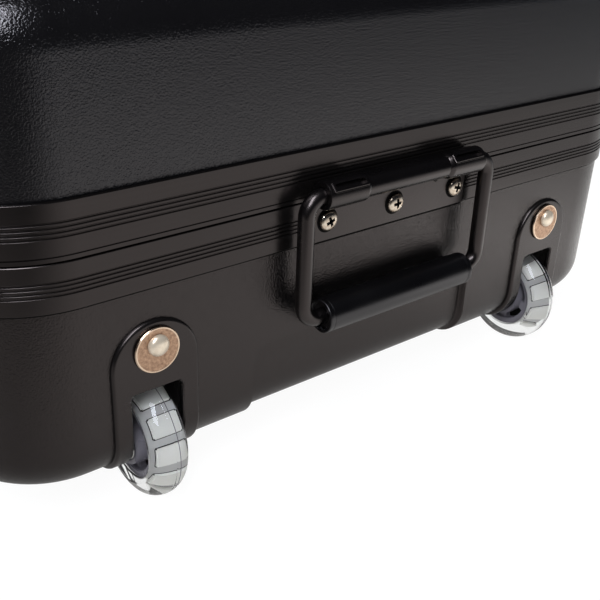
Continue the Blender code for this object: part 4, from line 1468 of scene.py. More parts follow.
        fitted(rivet, "case_base", "nickel", f"rivet_{word}")

    def on_axle(self) -> Matrix:
        """The move that lays a piece turned about Z onto the wheel's axle."""
        centre = (CASE.half_length - self.behind_face, self.y, self.radius)
        return Matrix.Translation(centre) @ Matrix.Rotation(-math.pi / 2, 4, "X")

    def tyre_mesh(self) -> Mesh:
        """The clear tyre, with a fine groove round its crown where the mould parted.

        Returns:
            The tyre, turned about Z.
        """
        bore = self.bore
        half = self.tyre_half
        profile = [(bore, half - 1.5 * MM), (bore, 1.5 * MM - half)]
        shoulder = self.radius - self.crown
        steps = 28
        for i in range(steps + 1):
            angle = -math.pi / 2 + math.pi * i / steps
            profile.append((shoulder + self.crown * math.cos(angle), half * math.sin(angle)))
        middle = 2 + steps // 2
        groove = [(self.radius, -0.35 * MM), (self.radius - 0.3 * MM, -0.12 * MM)]
        groove += [(radius, -height) for radius, height in reversed(groove)]
        profile[middle:middle + 1] = groove
        return turned(profile, 128)

    def block(self, inner: float, outer: float, half_angle: float, half_width: float) -> Mesh:
        """One curved block that stands on a ring about Z.

        Args:
            inner: Its inner radius.
            outer: Its outer radius.
            half_angle: Half the angle that it spans, in degrees.
            half_width: Half its width along Z.

        Returns:
            The block.
        """
        steps = 6
        outline = arc((0, 0), outer, -half_angle, half_angle, steps)
        outline += arc((0, 0), inner, half_angle, -half_angle, steps)
        return prism(outline, "Z", -half_width, half_width)

    def hoop(self, inner: float, outer: float, low: float, high: float, sides: int) -> Mesh:
        """A plain square-edged ring about Z.

        Args:
            inner: Its inner radius.
            outer: Its outer radius.
            low: Where it starts along Z.
            high: Where it ends.
            sides: Its number of sides.

        Returns:
            The ring.
        """
        return turned([(inner, low), (outer, low), (outer, high), (inner, high)], sides)

    def tab_ring(self, inner: float, outer: float, wider: float, longer: float, finish: Finish) -> Mesh:
        """The pairs of raised tabs round the core, about Z, or the larger dark blocks of painted shade under
        them.

        Args:
            inner: Radius where a tab starts.
            outer: Radius of its face.
            wider: Degrees added at each side of a tab.
            longer: Length added at each end of a tab.
            finish: The tabs' finish.

        Returns:
            The ring of tabs.
        """
        pair = []
        for side in (-1, 1):
            tab = self.block(inner, outer, self.tab_angle / 2 + wider, self.tab_half_width + longer)
            middle = self.turn + side * (self.tab_angle + self.tab_slit) / 2
            turn = Matrix.Translation((0, 0, self.tab_shift)) @ Matrix.Rotation(math.radians(middle), 4, "Z")
            pair.append(moved(bevelled(tab, 0.5 * MM), turn))
        return self.patterns.around(joined(*pair), self.tab_pairs, finish)

    def wheel(self) -> None:
        """Build and fit the tyre, its core, the tabs under it, the painted shade round the tabs and in the
        core's windows, and the bearings.
        """
        word, body = self.side.word, f"wheel_{self.side.word}"
        place = self.on_axle()
        tyre = finished(f"clear_tyre_{word}", moved(self.tyre_mesh(), place), Finish.TYRE, 60)
        fitted(tyre, body, "clear_tyre", f"tyre_{word}")
        core, rim = self.core_radius, 19 * MM
        ring = self.hoop(rim, core, -8 * MM, 8 * MM, 96)
        half = self.half_width
        hub = [(11.3 * MM, -half), (14 * MM, -half), (14.6 * MM, -6 * MM)]
        hub = turned(hub + [(radius, -height) for radius, height in reversed(hub)], 64)
        spoke = bevelled(self.block(14 * MM, 19.6 * MM, 12, 5.5 * MM), 0.5 * MM)
        spokes = self.patterns.around(spoke, self.spokes, Finish.CORE)
        spokes = moved(spokes, Matrix.Rotation(math.radians(self.spoke_turn), 4, "Z"))
        bm = joined(bevelled(ring, 0.5 * MM), bevelled(hub, 0.4 * MM), spokes)
        piece = finished(f"spoked_core_{word}", moved(bm, place), Finish.CORE, 40)
        fitted(piece, body, "wheel_core", f"wheel_core_{word}")
        # Painted shade: a dark disc across the core's middle fills the windows between the spokes, standing
        # for the shade inside them.
        web = self.hoop(14.2 * MM, 19.4 * MM, -1.5 * MM, 1.5 * MM, 64)
        fitted(finished(f"core_web_{word}", moved(web, place), Finish.DARK), body, "wheel_core")
        band = self.hoop(core - 0.6 * MM, core + 0.25 * MM, -7.7 * MM, 7.7 * MM, 96)
        fitted(finished(f"core_band_{word}", moved(band, place), Finish.BAND), body, "wheel_core")
        tabs = self.tab_ring(core - 0.5 * MM, core + self.tab_height, 0.0, 0.0, Finish.TAB)
        fitted(finished(f"core_tabs_{word}", moved(tabs, place), Finish.TAB, 40), body, "wheel_core")
        # Painted shade: slightly larger dark blocks under the tabs show as dark lines round each tab.
        edges = self.tab_ring(core - 0.5 * MM, core + 0.8 * MM, 1.1, 0.4 * MM, Finish.DARK)
        fitted(finished(f"core_tab_edges_{word}", moved(edges, place), Finish.DARK, 40), body, "wheel_core")
        flash = self.hoop(34.72 * MM, 34.82 * MM, 2.1 * MM, 2.5 * MM, 128)
        fitted(finished(f"tyre_mould_line_{word}", moved(flash, place), Finish.CORE), body, "clear_tyre")
        r = 11 * MM
        race = [(4.3 * MM, half), (6.2 * MM, half), (6.4 * MM, half - 0.5 * MM)]
        race += [(9.2 * MM, half - 0.6 * MM), (9.4 * MM, half - 0.1 * MM), (r - 0.3 * MM, half)]
        race += [(r, half - 0.3 * MM), (r, half - 7 * MM), (5.6 * MM, half - 7 * MM)]
        profile = race + [(radius, -height) for radius, height in reversed(race)]
        bearings = finished(f"bearing_pair_{word}", moved(turned(profile, 64), place), Finish.STEEL)
        fitted(bearings, body, "steel", f"wheel_bearings_{word}")
        kept(f"wheel_axle_{word}", Finish.STEEL)

    def build(self) -> None:
        """Build the whole set."""
        self.housing()
        self.fixing()
        self.wheel()


class Place(Enum):
    """Where a pull handle is fixed: its name, its place and its turn about Z."""

    WHEEL_END = ("wheel_end", (CASE.half_length, CASE.middle_y + 2.6 * MM, 0.0), 0.0)
    FAR_END = ("far_end", (-CASE.half_length, CASE.middle_y, 0.0), math.pi)
    FRONT = ("front", (0.0, CASE.middle_y - CASE.half_width, 0.0), -math.pi / 2)

    @property
    def matrix(self) -> Matrix:
        """The move from the handle's own axes, with X outwards, to the case's."""
        return Matrix.Translation(self.value[1]) @ Matrix.Rotation(self.value[2], 4, "Z")


def phillips_head(radius: float, height: float) -> Mesh:
    """A pan head with a cross recess, facing +Z.

    Args:
        radius: Its radius.
        height: Its height.

    Returns:
        The head.
    """
    profile = [(0.0, -0.1 * MM), (0.92 * radius, -0.1 * MM), (radius, 0.25 * MM), (radius, 0.25 * height)]
    steps = 9
    for i in range(1, steps):
        angle = math.pi / 2 * i / steps
        profile.append((radius * math.cos(angle) ** 0.8, height * (0.25 + 0.75 * math.sin(angle))))
    profile.append((0.0, height))
    head = turned(profile, 40)
    long, wide, deep = 0.56 * radius, 0.17 * radius, 0.62 * height
    arms = []
    for a, b in ((long, wide), (wide, long)):
        rings = []
        for share, z in ((0.55, height - deep), (1.0, height + 0.2 * MM)):
            x, y = a * share, b * share
            rings.append([(-x, -y, z), (x, -y, z), (x, y, z), (-x, y, z)])
        arms.append(skin(rings))
    return carved(head, *arms)


def cross_shadow(radius: float, height: float) -> Mesh:
    """Painted shade: a dark block at the bottom of a pan head's cross recess."""
    long, wide, low, high = 0.5 * radius, 0.155 * radius, 0.25 * height, 0.86 * height
    return joined(box((-long, -wide, low), (long, wide, high)), box((-wide, -long, low), (wide, long, high)))


@dataclass
class PullHandle:
    """A drop handle: a plate rolled into a barrel, a bent rod that hangs in it and a grip tube."""

    where: Place
    patterns: Patterns
    plate_half: float = 59 * MM
    sheet: float = 2 * MM
    out: float = 8.9 * MM
    pivot_z: float = 158.9 * MM
    barrel_half: float = 60 * MM
    barrel_radius: float = 6.4 * MM
    clamp_radius: float = 7.8 * MM
    clamp_length: float = 29 * MM
    rod_radius: float = 4.6 * MM
    bail_half: float = 70 * MM
    drop: float = 71 * MM
    bend: float = 10 * MM
    rod_end: float = 33 * MM
    grip_radius: float = 10 * MM
    grip_half: float = 57.5 * MM
    screw_spacing: float = 50 * MM
    screw_z: float = 141.4 * MM
    spins: tuple[float, ...] = (0.35, 0.1, -0.25)
    head: Pair = (5.8 * MM, 3.15 * MM)
    low: float = 129.2 * MM

    @property
    def word(self) -> str:
        """The handle's word in the names of nodes and bodies."""
        return self.where.value[0]

    def side_profile(self) -> list[Pair]:
        """The sheet's (out, z) outline: the plate, the roll over its top and the barrel.

        Returns:
            (out, z) points.
        """
        front = 0.3 * MM + self.sheet
        top = self.pivot_z + self.barrel_radius
        shelf = top - 2 * MM
        roll = 4 * MM
        back = 180 - math.degrees(math.asin((shelf - self.pivot_z) / self.barrel_radius))
        points = [(front - 1.1 * MM, self.low), (0.3 * MM, self.low)]
        points += arc((0.3 * MM + roll, top - roll), roll, 180, 90, 8)
        points += arc((self.out, self.pivot_z), self.barrel_radius, 90, back - 360, 44)
        points += [(front, shelf), (front, self.low + 1.0 * MM), (front - 0.3 * MM, self.low + 0.35 * MM)]
        return points

    def clamp(self, side: int) -> Mesh:
        """One wider clamp at an end of the barrel, with its raised slot.

        Args:
            side: 1 for the +Y end, -1 for the other.

        Returns:
            The clamp.
        """
        r, half, inner = self.clamp_radius, self.barrel_half, self.barrel_half - self.clamp_length
        profile = [(0.0, half), (r - 0.9 * MM, half), (r - 0.25 * MM, half - 0.25 * MM), (r, half - 0.9 * MM)]
        profile += [(r, inner + 3 * MM), (r - 0.3 * MM, inner + 1.6 * MM), (6.5 * MM, inner), (0.0, inner)]
        lie = Matrix.Translation((self.out, 0, self.pivot_z)) @ Matrix.Rotation(-side * math.pi / 2, 4, "X")
        body = moved(turned(profile, 56), lie)
        middle = side * (half + inner) / 2
        spot = (self.out, middle, self.pivot_z)
        tilt = Matrix.Translation(spot) @ Matrix.Rotation(-math.radians(45), 4, "Y")
        pad = box((r - 1.6 * MM, -12.4 * MM, -3.2 * MM), (r + 0.8 * MM, 12.4 * MM, 3.2 * MM))
        slot = box((r - 2.4 * MM, -10.4 * MM, -1.7 * MM), (r + 2 * MM, 10.4 * MM, 1.7 * MM))
        bm = carved(body, moved(bevelled(pad, 0.7 * MM, 3), tilt), operation="UNION")
        return carved(bm, moved(bevelled(slot, 0.5 * MM, 2), tilt), self.bore())

    def bore(self) -> Mesh:
        """The cutter for the rod's bore."""
        return rod("Y", self.rod_radius + 0.4 * MM, -0.1, 0.1, (self.out, self.pivot_z), 40)

    def plate(self) -> Mesh:
        """The rolled plate with both clamps.

        Returns:
            The plate.
        """
        sheet = prism(self.side_profile(), "Y", -self.plate_half, self.plate_half)
        sheet = carved(sheet, self.bore())
        return joined(sheet, self.clamp(-1), self.clamp(1), *self.tabs())

    def tabs(self) -> list[Mesh]:
        """The small folded tabs under the inner end of each clamp.

        Returns:
            The two tabs.
        """
        made = []
        for side in (-1, 1):
            middle = side * (self.barrel_half - self.clamp_length + 1.5 * MM)
            tab = box((1.9 * MM, middle - 1.6 * MM, 148 * MM), (4.9 * MM, middle + 1.6 * MM, 155.5 * MM))
            made.append(bevelled(tab, 0.8 * MM, 3))
        return made

    def bail(self) -> Mesh:
        """The bent rod.

        Returns:
            The rod.
        """
        right = [(self.rod_end, 0.0)]
        right += arc((self.bail_half - self.bend, -self.bend), self.bend, 90, 0, 12)
        right += arc((self.bail_half - self.bend, self.bend - self.drop), self.bend, 0, -90, 12)
        path = right + [(-y, z) for y, z in reversed(right)]
        points = [(self.out, y, self.pivot_z + z) for y, z in path]
        return tube(points, Vector((1, 0, 0)), self.rod_radius, 32)

    def grip(self) -> Mesh:
        """The grip tube, with a lip at each end and dished ends.

        Returns:
            The grip.
        """
        half, r, hole = self.grip_half, self.grip_radius, self.rod_radius + 0.3 * MM
        end = [(hole, half - 2.2 * MM), (r - 2.6 * MM, half - 2.2 * MM)]
        end += [(r - 2 * MM, half - 0.5 * MM), (r - 1.6 * MM, half)]
        end += arc((r - 0.7 * MM, half - 0.7 * MM), 0.7 * MM, 90, 0, 5)
        waist = r - 0.3 * MM
        end += [(r, half - 2.6 * MM), (waist, half - 3.0 * MM)]
        end += [(waist, half - 3.4 * MM), (r, half - 3.8 * MM)]
        profile = end + [(radius, -height) for radius, height in reversed(end)]
        spot = (self.out, 0, self.pivot_z - self.drop)
        lie = Matrix.Translation(spot) @ Matrix.Rotation(-math.pi / 2, 4, "X")
        return moved(turned(profile, 64), lie)

    def screws(self) -> None:
        """Set the screws, painted shade in their cross recesses and a ring of painted shadow under each head.
        """
        front = 0.3 * MM + self.sheet
        normal = (1.0, 0.0, 0.0)
        spots = []
        for i, spin in enumerate(self.spins):
            spots.append(((front + 0.35 * MM, (i - 1) * self.screw_spacing, self.screw_z), normal, spin))
        heads = self.patterns.heads(phillips_head(*self.head), spots, Finish.NICKEL)
        piece = finished(f"{self.word}_screw_heads", moved(heads, self.where.matrix), Finish.NICKEL, 40)
        nodes = [f"{self.word}_handle_screw_{k}" for k in (1, 2, 3)] if self.where is Place.WHEEL_END else []
        fitted(piece, "case_base", "nickel", *nodes)
        # Painted shade: a dark block sits in each screw head's cross recess.
        crosses = self.patterns.heads(cross_shadow(*self.head), spots, Finish.DARK)
        piece = finished(f"{self.word}_screw_recesses", moved(crosses, self.where.matrix), Finish.DARK)
        fitted(piece, "case_base", "black_steel")
        # Painted shadow: a dark ring round each screw head stands for the shadow round the head.
        shadow_ring = [(3 * MM, 0.0), (7.1 * MM, 0.0), (6.9 * MM, 0.3 * MM)]
        shadow_ring += [(5.9 * MM, 0.42 * MM), (3 * MM, 0.42 * MM)]
        ring_spots = [((front - 0.02 * MM, y, z), normal, spin) for (_, y, z), _, spin in spots]
        shadow_rings = self.patterns.heads(turned(shadow_ring, 48), ring_spots, Finish.DARK)
        piece = finished(f"{self.word}_screw_seats", moved(shadow_rings, self.where.matrix), Finish.DARK)
        fitted(piece, "case_base", "black_steel")

    def build(self) -> None:
        """Build and fit the handle."""
        turn = self.where.matrix
        plate = finished(f"{self.word}_rolled_plate", moved(self.plate(), turn), Finish.PAINTED, 32)
        fitted(plate, "case_base", "black_steel", f"{self.word}_handle_plate")
        # Painted shadow: a near-black strip under the plate's lower edge stands for the shadow line beneath
        # the plate.
        wide = self.plate_half - 0.2 * MM
        strip = box((0.9 * MM, -wide, self.low - 0.75 * MM), (1.75 * MM, wide, self.low - 0.02 * MM))
        plate_shadow = finished(f"{self.word}_plate_gasket", moved(strip, turn), Finish.DARK)
        fitted(plate_shadow, "case_base", "black_steel")
        bail = finished(f"{self.word}_bent_rod", moved(self.bail(), turn), Finish.PAINTED, 50)
        fitted(bail, f"{self.word}_bail", "black_steel", f"{self.word}_handle_bail")
        grip = finished(f"{self.word}_grip_tube", moved(self.grip(), turn), Finish.GRIP, 40)
        fitted(grip, f"{self.word}_bail", "grip_plastic", f"{self.word}_handle_grip")
        self.screws()


@dataclass
class Hinge:
    """A butt hinge on the back: two leaves with knuckles in turn round one pin."""

    number: int
    x: float
    patterns: Patterns
    out: float = 6 * MM
    knuckle_radius: float = 4 * MM
    knuckles: int = 5
    pitch: float = 13 * MM
    leaf: float = 1.5 * MM
    edge: float = 2 * MM
    reaches: tuple[float, float] = (22.3 * MM, 26 * MM)

    @property
    def matrix(self) -> Matrix:
        """The move from the hinge's own axes, with Y outwards, to the case's."""
        return Matrix.Translation((self.x, CASE.middle_y + CASE.half_width, CASE.parting_z))

    def leaf_mesh(self, up: int) -> Mesh:
        """One leaf with its knuckles, up for the lid's.

        Args:
            up: 1 for the lid's leaf, -1 for the base's.

        Returns:
            The leaf.
        """
        half = self.knuckles * self.pitch / 2
        reach = self.reaches[0 if up < 0 else 1]
        zs = sorted((up * self.edge, up * reach))
        plate = bevelled(box((-half, 0.3 * MM, zs[0]), (half, 0.3 * MM + self.leaf, zs[1])), 0.4 * MM)
        parts = [plate]
        for k in range(self.knuckles):
            if (k % 2 == 0) != (up < 0):
                continue
            start = -half + k * self.pitch + 0.15 * MM
            end = start + self.pitch - 0.3 * MM
            barrel = bevelled(rod("X", self.knuckle_radius, start, end, (self.out, 0), 32), 0.35 * MM)
            zs = sorted((up * 0.3 * MM, up * 5 * MM))
            web = box((start, 0.8 * MM, zs[0]), (end, 3.2 * MM, zs[1]))
            parts += [barrel, bevelled(web, 0.3 * MM)]
        return joined(*parts)

    def build(self) -> None:
        """Build and fit the hinge and its screws."""
        half = self.knuckles * self.pitch / 2
        across = (-0.75 * half, -0.25 * half, 0.25 * half, 0.75 * half)
        for up, word, body in ((-1, "base", "case_base"), (1, "lid", "lid")):
            name = f"hinge_{self.number}_{word}"
            leaf = finished(f"{name}_bevelled_leaf", moved(self.leaf_mesh(up), self.matrix), Finish.PAINTED)
            fitted(leaf, body, "black_steel", f"{name}_leaf")
            z = up * (self.reaches[0 if up < 0 else 1] + self.edge) / 2 + up * 1.5 * MM
            seat = 0.3 * MM + self.leaf
            spots = [((x, seat, z), (0.0, 1.0, 0.0), 0.6 * i) for i, x in enumerate(across)]
            heads = self.patterns.heads(phillips_head(3.4 * MM, 1.7 * MM), spots, Finish.BRIGHT)
            piece = finished(f"{name}_screw_heads", moved(heads, self.matrix), Finish.BRIGHT, 40)
            fitted(piece, body, "steel")
        kept(f"hinge_{self.number}_pin", Finish.STEEL)


@dataclass
class DrawLatch:
    """An over-centre draw latch on the front, resting just released."""

    number: int
    x: float
    patterns: Patterns
    sheet: float = 1.5 * MM
    half: float = 17 * MM
    pivot_out: float = 5.2 * MM
    pivot_z: float = 144 * MM
    arm: float = 9 * MM
    claw_back: float = 0.8 * MM
    lever_half: float = 12 * MM
    lever_length: float = 34 * MM
    cover_out: float = 4.4 * MM
    released: float = math.radians(12)
    claw_half: float = 7 * MM
    claw_sheet: float = 1.8 * MM
    ledge_z: float = 164 * MM

    @property
    def matrix(self) -> Matrix:
        """The move from the latch's own axes, with X outwards, to the case's."""
        spot = (self.x, CASE.middle_y - CASE.half_width, 0.0)
        return Matrix.Translation(spot) @ Matrix.Rotation(-math.pi / 2, 4, "Z")

    def plate(self) -> Mesh:
        """The fixed plate with its ears.

        Returns:
            The plate.
        """
        low, high = CASE.parting_z - 23.3 * MM, CASE.parting_z - 1 * MM
        front = 0.3 * MM + self.sheet
        parts = [bevelled(box((0.3 * MM, -self.half, low), (front, self.half, high)), 0.4 * MM)]
        for side in (-1, 1):
            ys = sorted((side * (self.lever_half + 0.3 * MM), side * (self.lever_half + 1.8 * MM)))
            outline = [(0.7 * MM, self.pivot_z - 4 * MM), (0.7 * MM, self.pivot_z + 4 * MM)]
            outline += arc((self.pivot_out, self.pivot_z), 2.8 * MM, 90, -90, 12)
            parts.append(bevelled(prism(outline, "Y", *ys), 0.25 * MM))
            ys = sorted((side * (self.lever_half - 1.7 * MM), side * (self.lever_half + 2.2 * MM)))
            parts.append(bevelled(rod("Y", 1.4 * MM, *ys, (self.pivot_out, self.pivot_z), 24), 0.2 * MM))
        return joined(*parts)

    def lever(self) -> Mesh:
        """The lever: a bowed cover with two cheeks, in its own axes about the pivot.

        Returns:
            The lever, swung to where it rests.
        """
        low, high = -self.lever_length, -self.arm - 3.4 * MM
        out, sheet = self.cover_out, 1.6 * MM
        steps = 14
        outer, inner = [], []
        for i in range(steps + 1):
            share = i / steps
            z = high + (low - high) * share
            bow = 0.0 if share < 0.7 else -0.9 * MM * smoothstep((share - 0.7) / 0.3)
            outer.append((out + bow, z))
            inner.append((out + bow - sheet, z))
        cover = bevelled(prism(outer + inner[::-1], "Y", -self.lever_half, self.lever_half), 0.4 * MM)
        outline = [(-2.4 * MM, 2.4 * MM), (-2.9 * MM, -self.arm - 2.4 * MM)]
        outline += [(out - 1.2 * MM, -self.arm - 9 * MM), (out - 0.2 * MM, -self.arm - 9 * MM)]
        outline += [(out - 0.2 * MM, -self.arm), (2.4 * MM, 2.4 * MM)]
        parts = [cover]
        for side in (-1, 1):
            ys = sorted((side * (self.lever_half - 2 * MM), side * self.lever_half))
            parts.append(bevelled(prism(outline, "Y", *ys), 0.3 * MM))
        spot = (self.pivot_out, 0, self.pivot_z)
        swing = Matrix.Translation(spot) @ Matrix.Rotation(-self.released, 4, "Y")
        return moved(joined(*parts), swing)

    def claw(self) -> Mesh:
        """The claw: an upright strap with its pin below and a hooked lip above.

        Returns:
            The claw.
        """
        swung = Matrix.Rotation(-self.released, 4, "Y") @ Vector((-self.claw_back, 0, -self.arm))
        spot = (self.pivot_out + swung.x, 0, self.pivot_z + swung.z)
        top = self.ledge_z + 2 * MM + 0.3 * MM + 1.5 * MM - (self.pivot_z - self.arm)
        t = self.claw_sheet / 2
        back = 2.3 * MM - (self.pivot_out - self.claw_back)
        outline = [(-t, -2 * MM), (t, -2 * MM), (t, top - 0.5 * MM), (t - 0.5 * MM, top)]
        outline += [(back, top), (back, top - 1.5 * MM), (-t, top - 1.5 * MM)]
        strap = bevelled(prism(outline, "Y", -self.claw_half, self.claw_half), 0.25 * MM)
        pin = rod("Y", 1.4 * MM, -11.6 * MM, 11.6 * MM, sides=24)
        return moved(joined(strap, pin), Matrix.Translation(spot))

    def keeper(self) -> Mesh:
        """The keeper on the lid, with its ledge.

        Returns:
            The keeper.
        """
        low = self.ledge_z - 6 * MM
        front = 0.3 * MM + self.sheet
        half = 12 * MM
        plate = box((0.3 * MM, -half, low), (front, half, low + 12 * MM))
        ledge = box((0.8 * MM, -half, self.ledge_z), (front + 1.4 * MM, half, self.ledge_z + 2 * MM))
        return joined(bevelled(plate, 0.4 * MM), bevelled(ledge, 0.4 * MM))

    def build(self) -> None:
        """Build and fit the latch and its rivets."""
        name = f"latch_{self.number}"
        pieces = (
            ("plate", self.plate(), Finish.PAINTED, "case_base", "black_steel"),
            ("lever", self.lever(), Finish.BRIGHT, f"{name}_lever", "nickel"),
            ("claw", self.claw(), Finish.BRIGHT, f"{name}_claw", "nickel"),
            ("keeper", self.keeper(), Finish.BRIGHT, "lid", "nickel"),
        )
        for word, bm, finish, body, slot in pieces:
            piece = finished(f"{name}_pressed_{word}", moved(bm, self.matrix), finish)
            fitted(piece, body, slot, f"{name}_{word}")
        seat = 0.3 * MM + self.sheet
        dome = [(0.0, 0.0), (1.6 * MM, 0.0), (1.6 * MM, 0.3 * MM), (1.1 * MM, 0.75 * MM), (0.0, 0.9 * MM)]
        riveted = (
            ("plate", "case_base", 15.2 * MM, (134 * MM, 149.4 * MM)),
            ("keeper", "lid", 9 * MM, (160.8 * MM,)),
        )
        for word, body, beside, heights in riveted:
            spots = [((seat, y, z), (1.0, 0.0, 0.0), 0.0) for z in heights for y in (-beside, beside)]
            heads = moved(self.patterns.heads(turned(dome, 24), spots, Finish.BRIGHT), self.matrix)
            fitted(finished(f"{name}_{word}_rivets", heads, Finish.BRIGHT, 50), body, "nickel")


@dataclass
class Foot:
    """A turned rubber foot under the far end."""

    side: Side
    from_end: float = 60 * MM
    track: float = 170 * MM
    radius: float = 21 * MM
    top_radius: float = 25 * MM
    height: float = 21.7 * MM

    def build(self) -> None:
        """Build and fit the foot."""
        r, h = self.radius, self.height
        wide, rounding = self.top_radius, 1.6 * MM
        profile = [(0.0, 7 * MM), (5 * MM, 7 * MM), (5.4 * MM, 6.6 * MM), (5.8 * MM, 0.5 * MM)]
        profile += [(6.4 * MM, 0.0), (r - rounding, 0.0)]
        profile += arc((r - rounding, rounding), rounding, -90, -10, 5)
        profile += [(wide - 0.4 * MM, h - 2 * MM), (wide, h - 1.2 * MM), (wide, h), (0.0, h)]
        place = (self.from_end - CASE.half_length, CASE.middle_y + self.side.value * self.track, 0)
        bm = moved(turned(profile, 64), Matrix.Translation(place))
        word = self.side.word
        foot = finished(f"rubber_foot_{word}", bm, Finish.RUBBER)
        fitted(foot, "case_base", "seal_rubber", f"foot_{word}")


# The studio


@dataclass(frozen=True)
class SoftBox:
    """One rectangular studio lamp."""

    name: str
    place: Point
    target: Point
    size: Pair
    watts: float
    colour: Colour = (1.0, 1.0, 1.0)

    def build(self) -> None:
        """Hang the lamp and aim it."""
        data = bpy.data.lights.new(self.name, "AREA")
        data.shape = "RECTANGLE"
        data.size, data.size_y = self.size
        data.energy = self.watts
        data.color = self.colour
        lamp = bpy.data.objects.new(self.name, data)
        lamp.location = self.place
        direction = Vector(self.target) - Vector(self.place)
        lamp.rotation_euler = direction.to_track_quat("-Z", "Y").to_euler()
        bpy.context.scene.collection.objects.link(lamp)


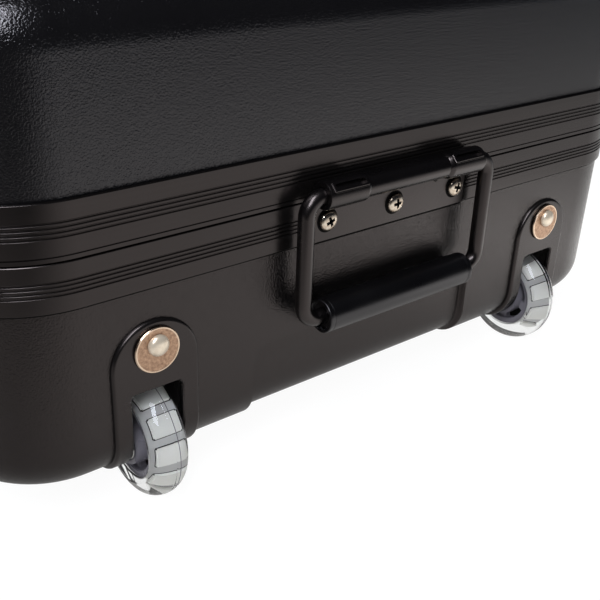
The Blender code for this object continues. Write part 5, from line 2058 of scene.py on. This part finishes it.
@dataclass
class Studio:
    """White floor, soft lamps, a plain world and the camera."""

    lens: float = 53.181
    camera_place: Point = (1.088509, -0.337737, 0.316505)
    right: Point = (0.62352971, 0.78106828, 0.03380878)
    down: Point = (0.36916233, -0.2560325, -0.89340166)
    forward: Point = (-0.68915156, 0.56954341, -0.44798486)
    seen_share: float = 0.9
    # Painted light in the floor's reflections: its level, the painted dark zone by the camera and a painted
    # bright spot (x, y, gain).
    mirrored_level: float = 1.03
    camera_side_level: float = 0.1
    bright_spot: Point = (0.87, 0.33, 0.9)
    near_tint: Colour = (1.0, 0.985, 0.97)
    far_tint: Colour = (0.78, 0.87, 1.0)
    through_level: float = 1.0
    through_world: float = 0.1
    world_light: float = 0.42
    world_mirrored: Colour = (0.014, 0.015, 0.019)
    lamps: tuple[SoftBox, ...] = (
        SoftBox(
            "left softbox",
            place=(-0.1, -1.75, 1.5),
            target=(0.7, -0.2, 0.15),
            size=(0.9, 0.9),
            watts=16,
            colour=(0.95, 0.97, 1.0),
        ),
        SoftBox(
            "strip softbox",
            place=(1.66, -1.02, 1.9),
            target=(0.755, -0.155, 0.06),
            size=(0.7, 1.8),
            watts=60,
            colour=(0.88, 0.92, 1.0),
        ),
    )

    def camera(self) -> None:
        """Set the camera where the photograph was taken from."""
        data = bpy.data.cameras.new("camera")
        data.lens = self.lens
        data.sensor_width = 36.0
        data.clip_start = 0.01
        data.clip_end = 100.0
        camera = bpy.data.objects.new("camera", data)
        columns = (self.right, tuple(-v for v in self.down), tuple(-v for v in self.forward))
        turn = Matrix(columns).transposed().to_4x4()
        camera.matrix_world = Matrix.Translation(self.camera_place) @ turn
        bpy.context.scene.collection.objects.link(camera)
        bpy.context.scene.camera = camera

    def floor(self) -> None:
        """Lay the white floor. Seen directly or mirrored it is near white, and it keeps a soft shadow."""
        bm = bmesh.new()
        corners = ((-1, -1), (1, -1), (1, 1), (-1, 1))
        bm.faces.new([bm.verts.new((x * FAR_VIEW, y * FAR_VIEW, -0.2 * MM)) for x, y in corners])
        mesh = bpy.data.meshes.new("studio_floor")
        bm.to_mesh(mesh)
        bm.free()
        floor = bpy.data.objects.new("studio_floor", mesh)
        bpy.context.scene.collection.objects.link(floor)
        mesh.materials.append(self.floor_material())

    def floor_material(self) -> bpy.types.Material:
        """White where it is seen. In reflections it glows with painted light: painted shade near the case,
        dimmer far off, a painted dark zone by the camera and a painted bright spot.

        Returns:
            The material.
        """
        g = Graph("studio floor")
        split = g.add("ShaderNodeSeparateXYZ", {"Vector": g.coords}).outputs
        away = g.math("SUBTRACT", g.math("ABSOLUTE", split["X"]), CASE.half_length)
        away = g.math("MAXIMUM", away, g.math("SUBTRACT", g.math("ABSOLUTE", split["Y"]), CASE.half_width))
        # Painted shade in the floor's reflections: a dark zone by the camera and a darker band round the
        # case.
        before = g.spread(split["Y"], 1, 0, -0.35, -0.03)
        beside = g.spread(split["X"], 0, 1, 0.82, 1.25)
        camera_side = g.math("MULTIPLY", before, beside)
        shaded = g.spread(away, 0.42, 1, -0.03, 0.14)
        dimmed = g.spread(away, self.mirrored_level, 0.3, 0.9, 2.8)
        level = g.math("MULTIPLY", shaded, dimmed)
        level = g.math("MULTIPLY", level, g.spread(camera_side, 1, self.camera_side_level))
        level = g.math("MULTIPLY", level, g.spread(split["Y"], 0.5, 1, -0.34, -0.14))
        level = g.math("MULTIPLY", level, g.spread(split["Y"], 1, 0.54, 0.3, 1.1))
        # A painted bright spot in the floor's reflections.
        x, y, gain = self.bright_spot
        offset = g.add("ShaderNodeVectorMath", {0: g.coords, 1: (x, y, 0)}, operation="DISTANCE")
        offset = offset.outputs["Value"]
        level = g.math("ADD", level, g.spread(offset, gain, 0, 0, 0.22))
        tint = g.blend(g.spread(away, 0, 1, 0.8, 2.0), self.near_tint, self.far_tint)
        painted_reflection_glow = g.add("ShaderNodeEmission", {"Color": tint, "Strength": level}).outputs[0]
        through = g.add("ShaderNodeEmission", {"Strength": self.through_level}).outputs[0]
        plain = g.add("ShaderNodeEmission", {"Color": (1, 1, 1, 1), "Strength": 1.06}).outputs[0]
        g.finish(Base_Color=(0.8, 0.8, 0.8), Roughness=1.0, Specular_IOR_Level=0.0)
        path = g.add("ShaderNodeLightPath").outputs
        direct = g.math("MULTIPLY", path["Is Camera Ray"], self.seen_share)
        shader = g.shader.outputs[0]
        layers = ((path["Is Glossy Ray"], painted_reflection_glow), (path["Is Transmission Ray"], through), (direct, plain))
        for share, other in layers:
            shader = g.add("ShaderNodeMixShader", {"Fac": share, 1: shader, 2: other}).outputs[0]
        output = g.tree.nodes["Material Output"]
        g.feed(output.inputs["Surface"], shader)
        return g.material

    def world(self) -> None:
        """A plain pale world: white where it is seen, dimmer as light."""
        world = bpy.data.worlds.new("studio")
        bpy.context.scene.world = world
        world.use_nodes = True
        tree = world.node_tree
        tree.nodes.clear()
        add = tree.nodes.new
        path = add("ShaderNodeLightPath").outputs
        layers = (
            (None, tuple([self.world_light] * 3)),
            (path["Is Glossy Ray"], self.world_mirrored),
            (path["Is Transmission Ray"], tuple([self.through_world] * 3)),
            (path["Is Camera Ray"], (1, 1, 1)),
        )
        last = None
        for share, colour in layers:
            background = add("ShaderNodeBackground")
            background.inputs["Color"].default_value = (*colour, 1)
            if share is None:
                last = background.outputs[0]
                continue
            mix = add("ShaderNodeMixShader")
            tree.links.new(share, mix.inputs["Fac"])
            tree.links.new(last, mix.inputs[1])
            tree.links.new(background.outputs[0], mix.inputs[2])
            last = mix.outputs[0]
        tree.links.new(last, add("ShaderNodeOutputWorld").inputs["Surface"])

    def build(self) -> None:
        """Set up the whole studio."""
        self.camera()
        self.floor()
        self.world()
        for lamp in self.lamps:
            lamp.build()
        bpy.context.scene.view_settings.view_transform = "Standard"


def main() -> None:
    """Build every sub-assembly in order."""
    logging.basicConfig(level=logging.INFO, format="%(message)s")
    patterns = Patterns()
    Studio().build()
    Tubs().build()
    Valances().build()
    Linings().build()
    for side in Side:
        WheelSet(side, patterns).build()
        Foot(side).build()
    for where in Place:
        PullHandle(where, patterns).build()
    reach = CASE.half_length - 190 * MM
    for number, x in enumerate((-reach, 0.0, reach), start=1):
        Hinge(number, x, patterns).build()
    for number, x in enumerate((-reach, -230 * MM, 230 * MM, reach), start=1):
        DrawLatch(number, x, patterns).build()


if __name__ == "__main__":
    main()
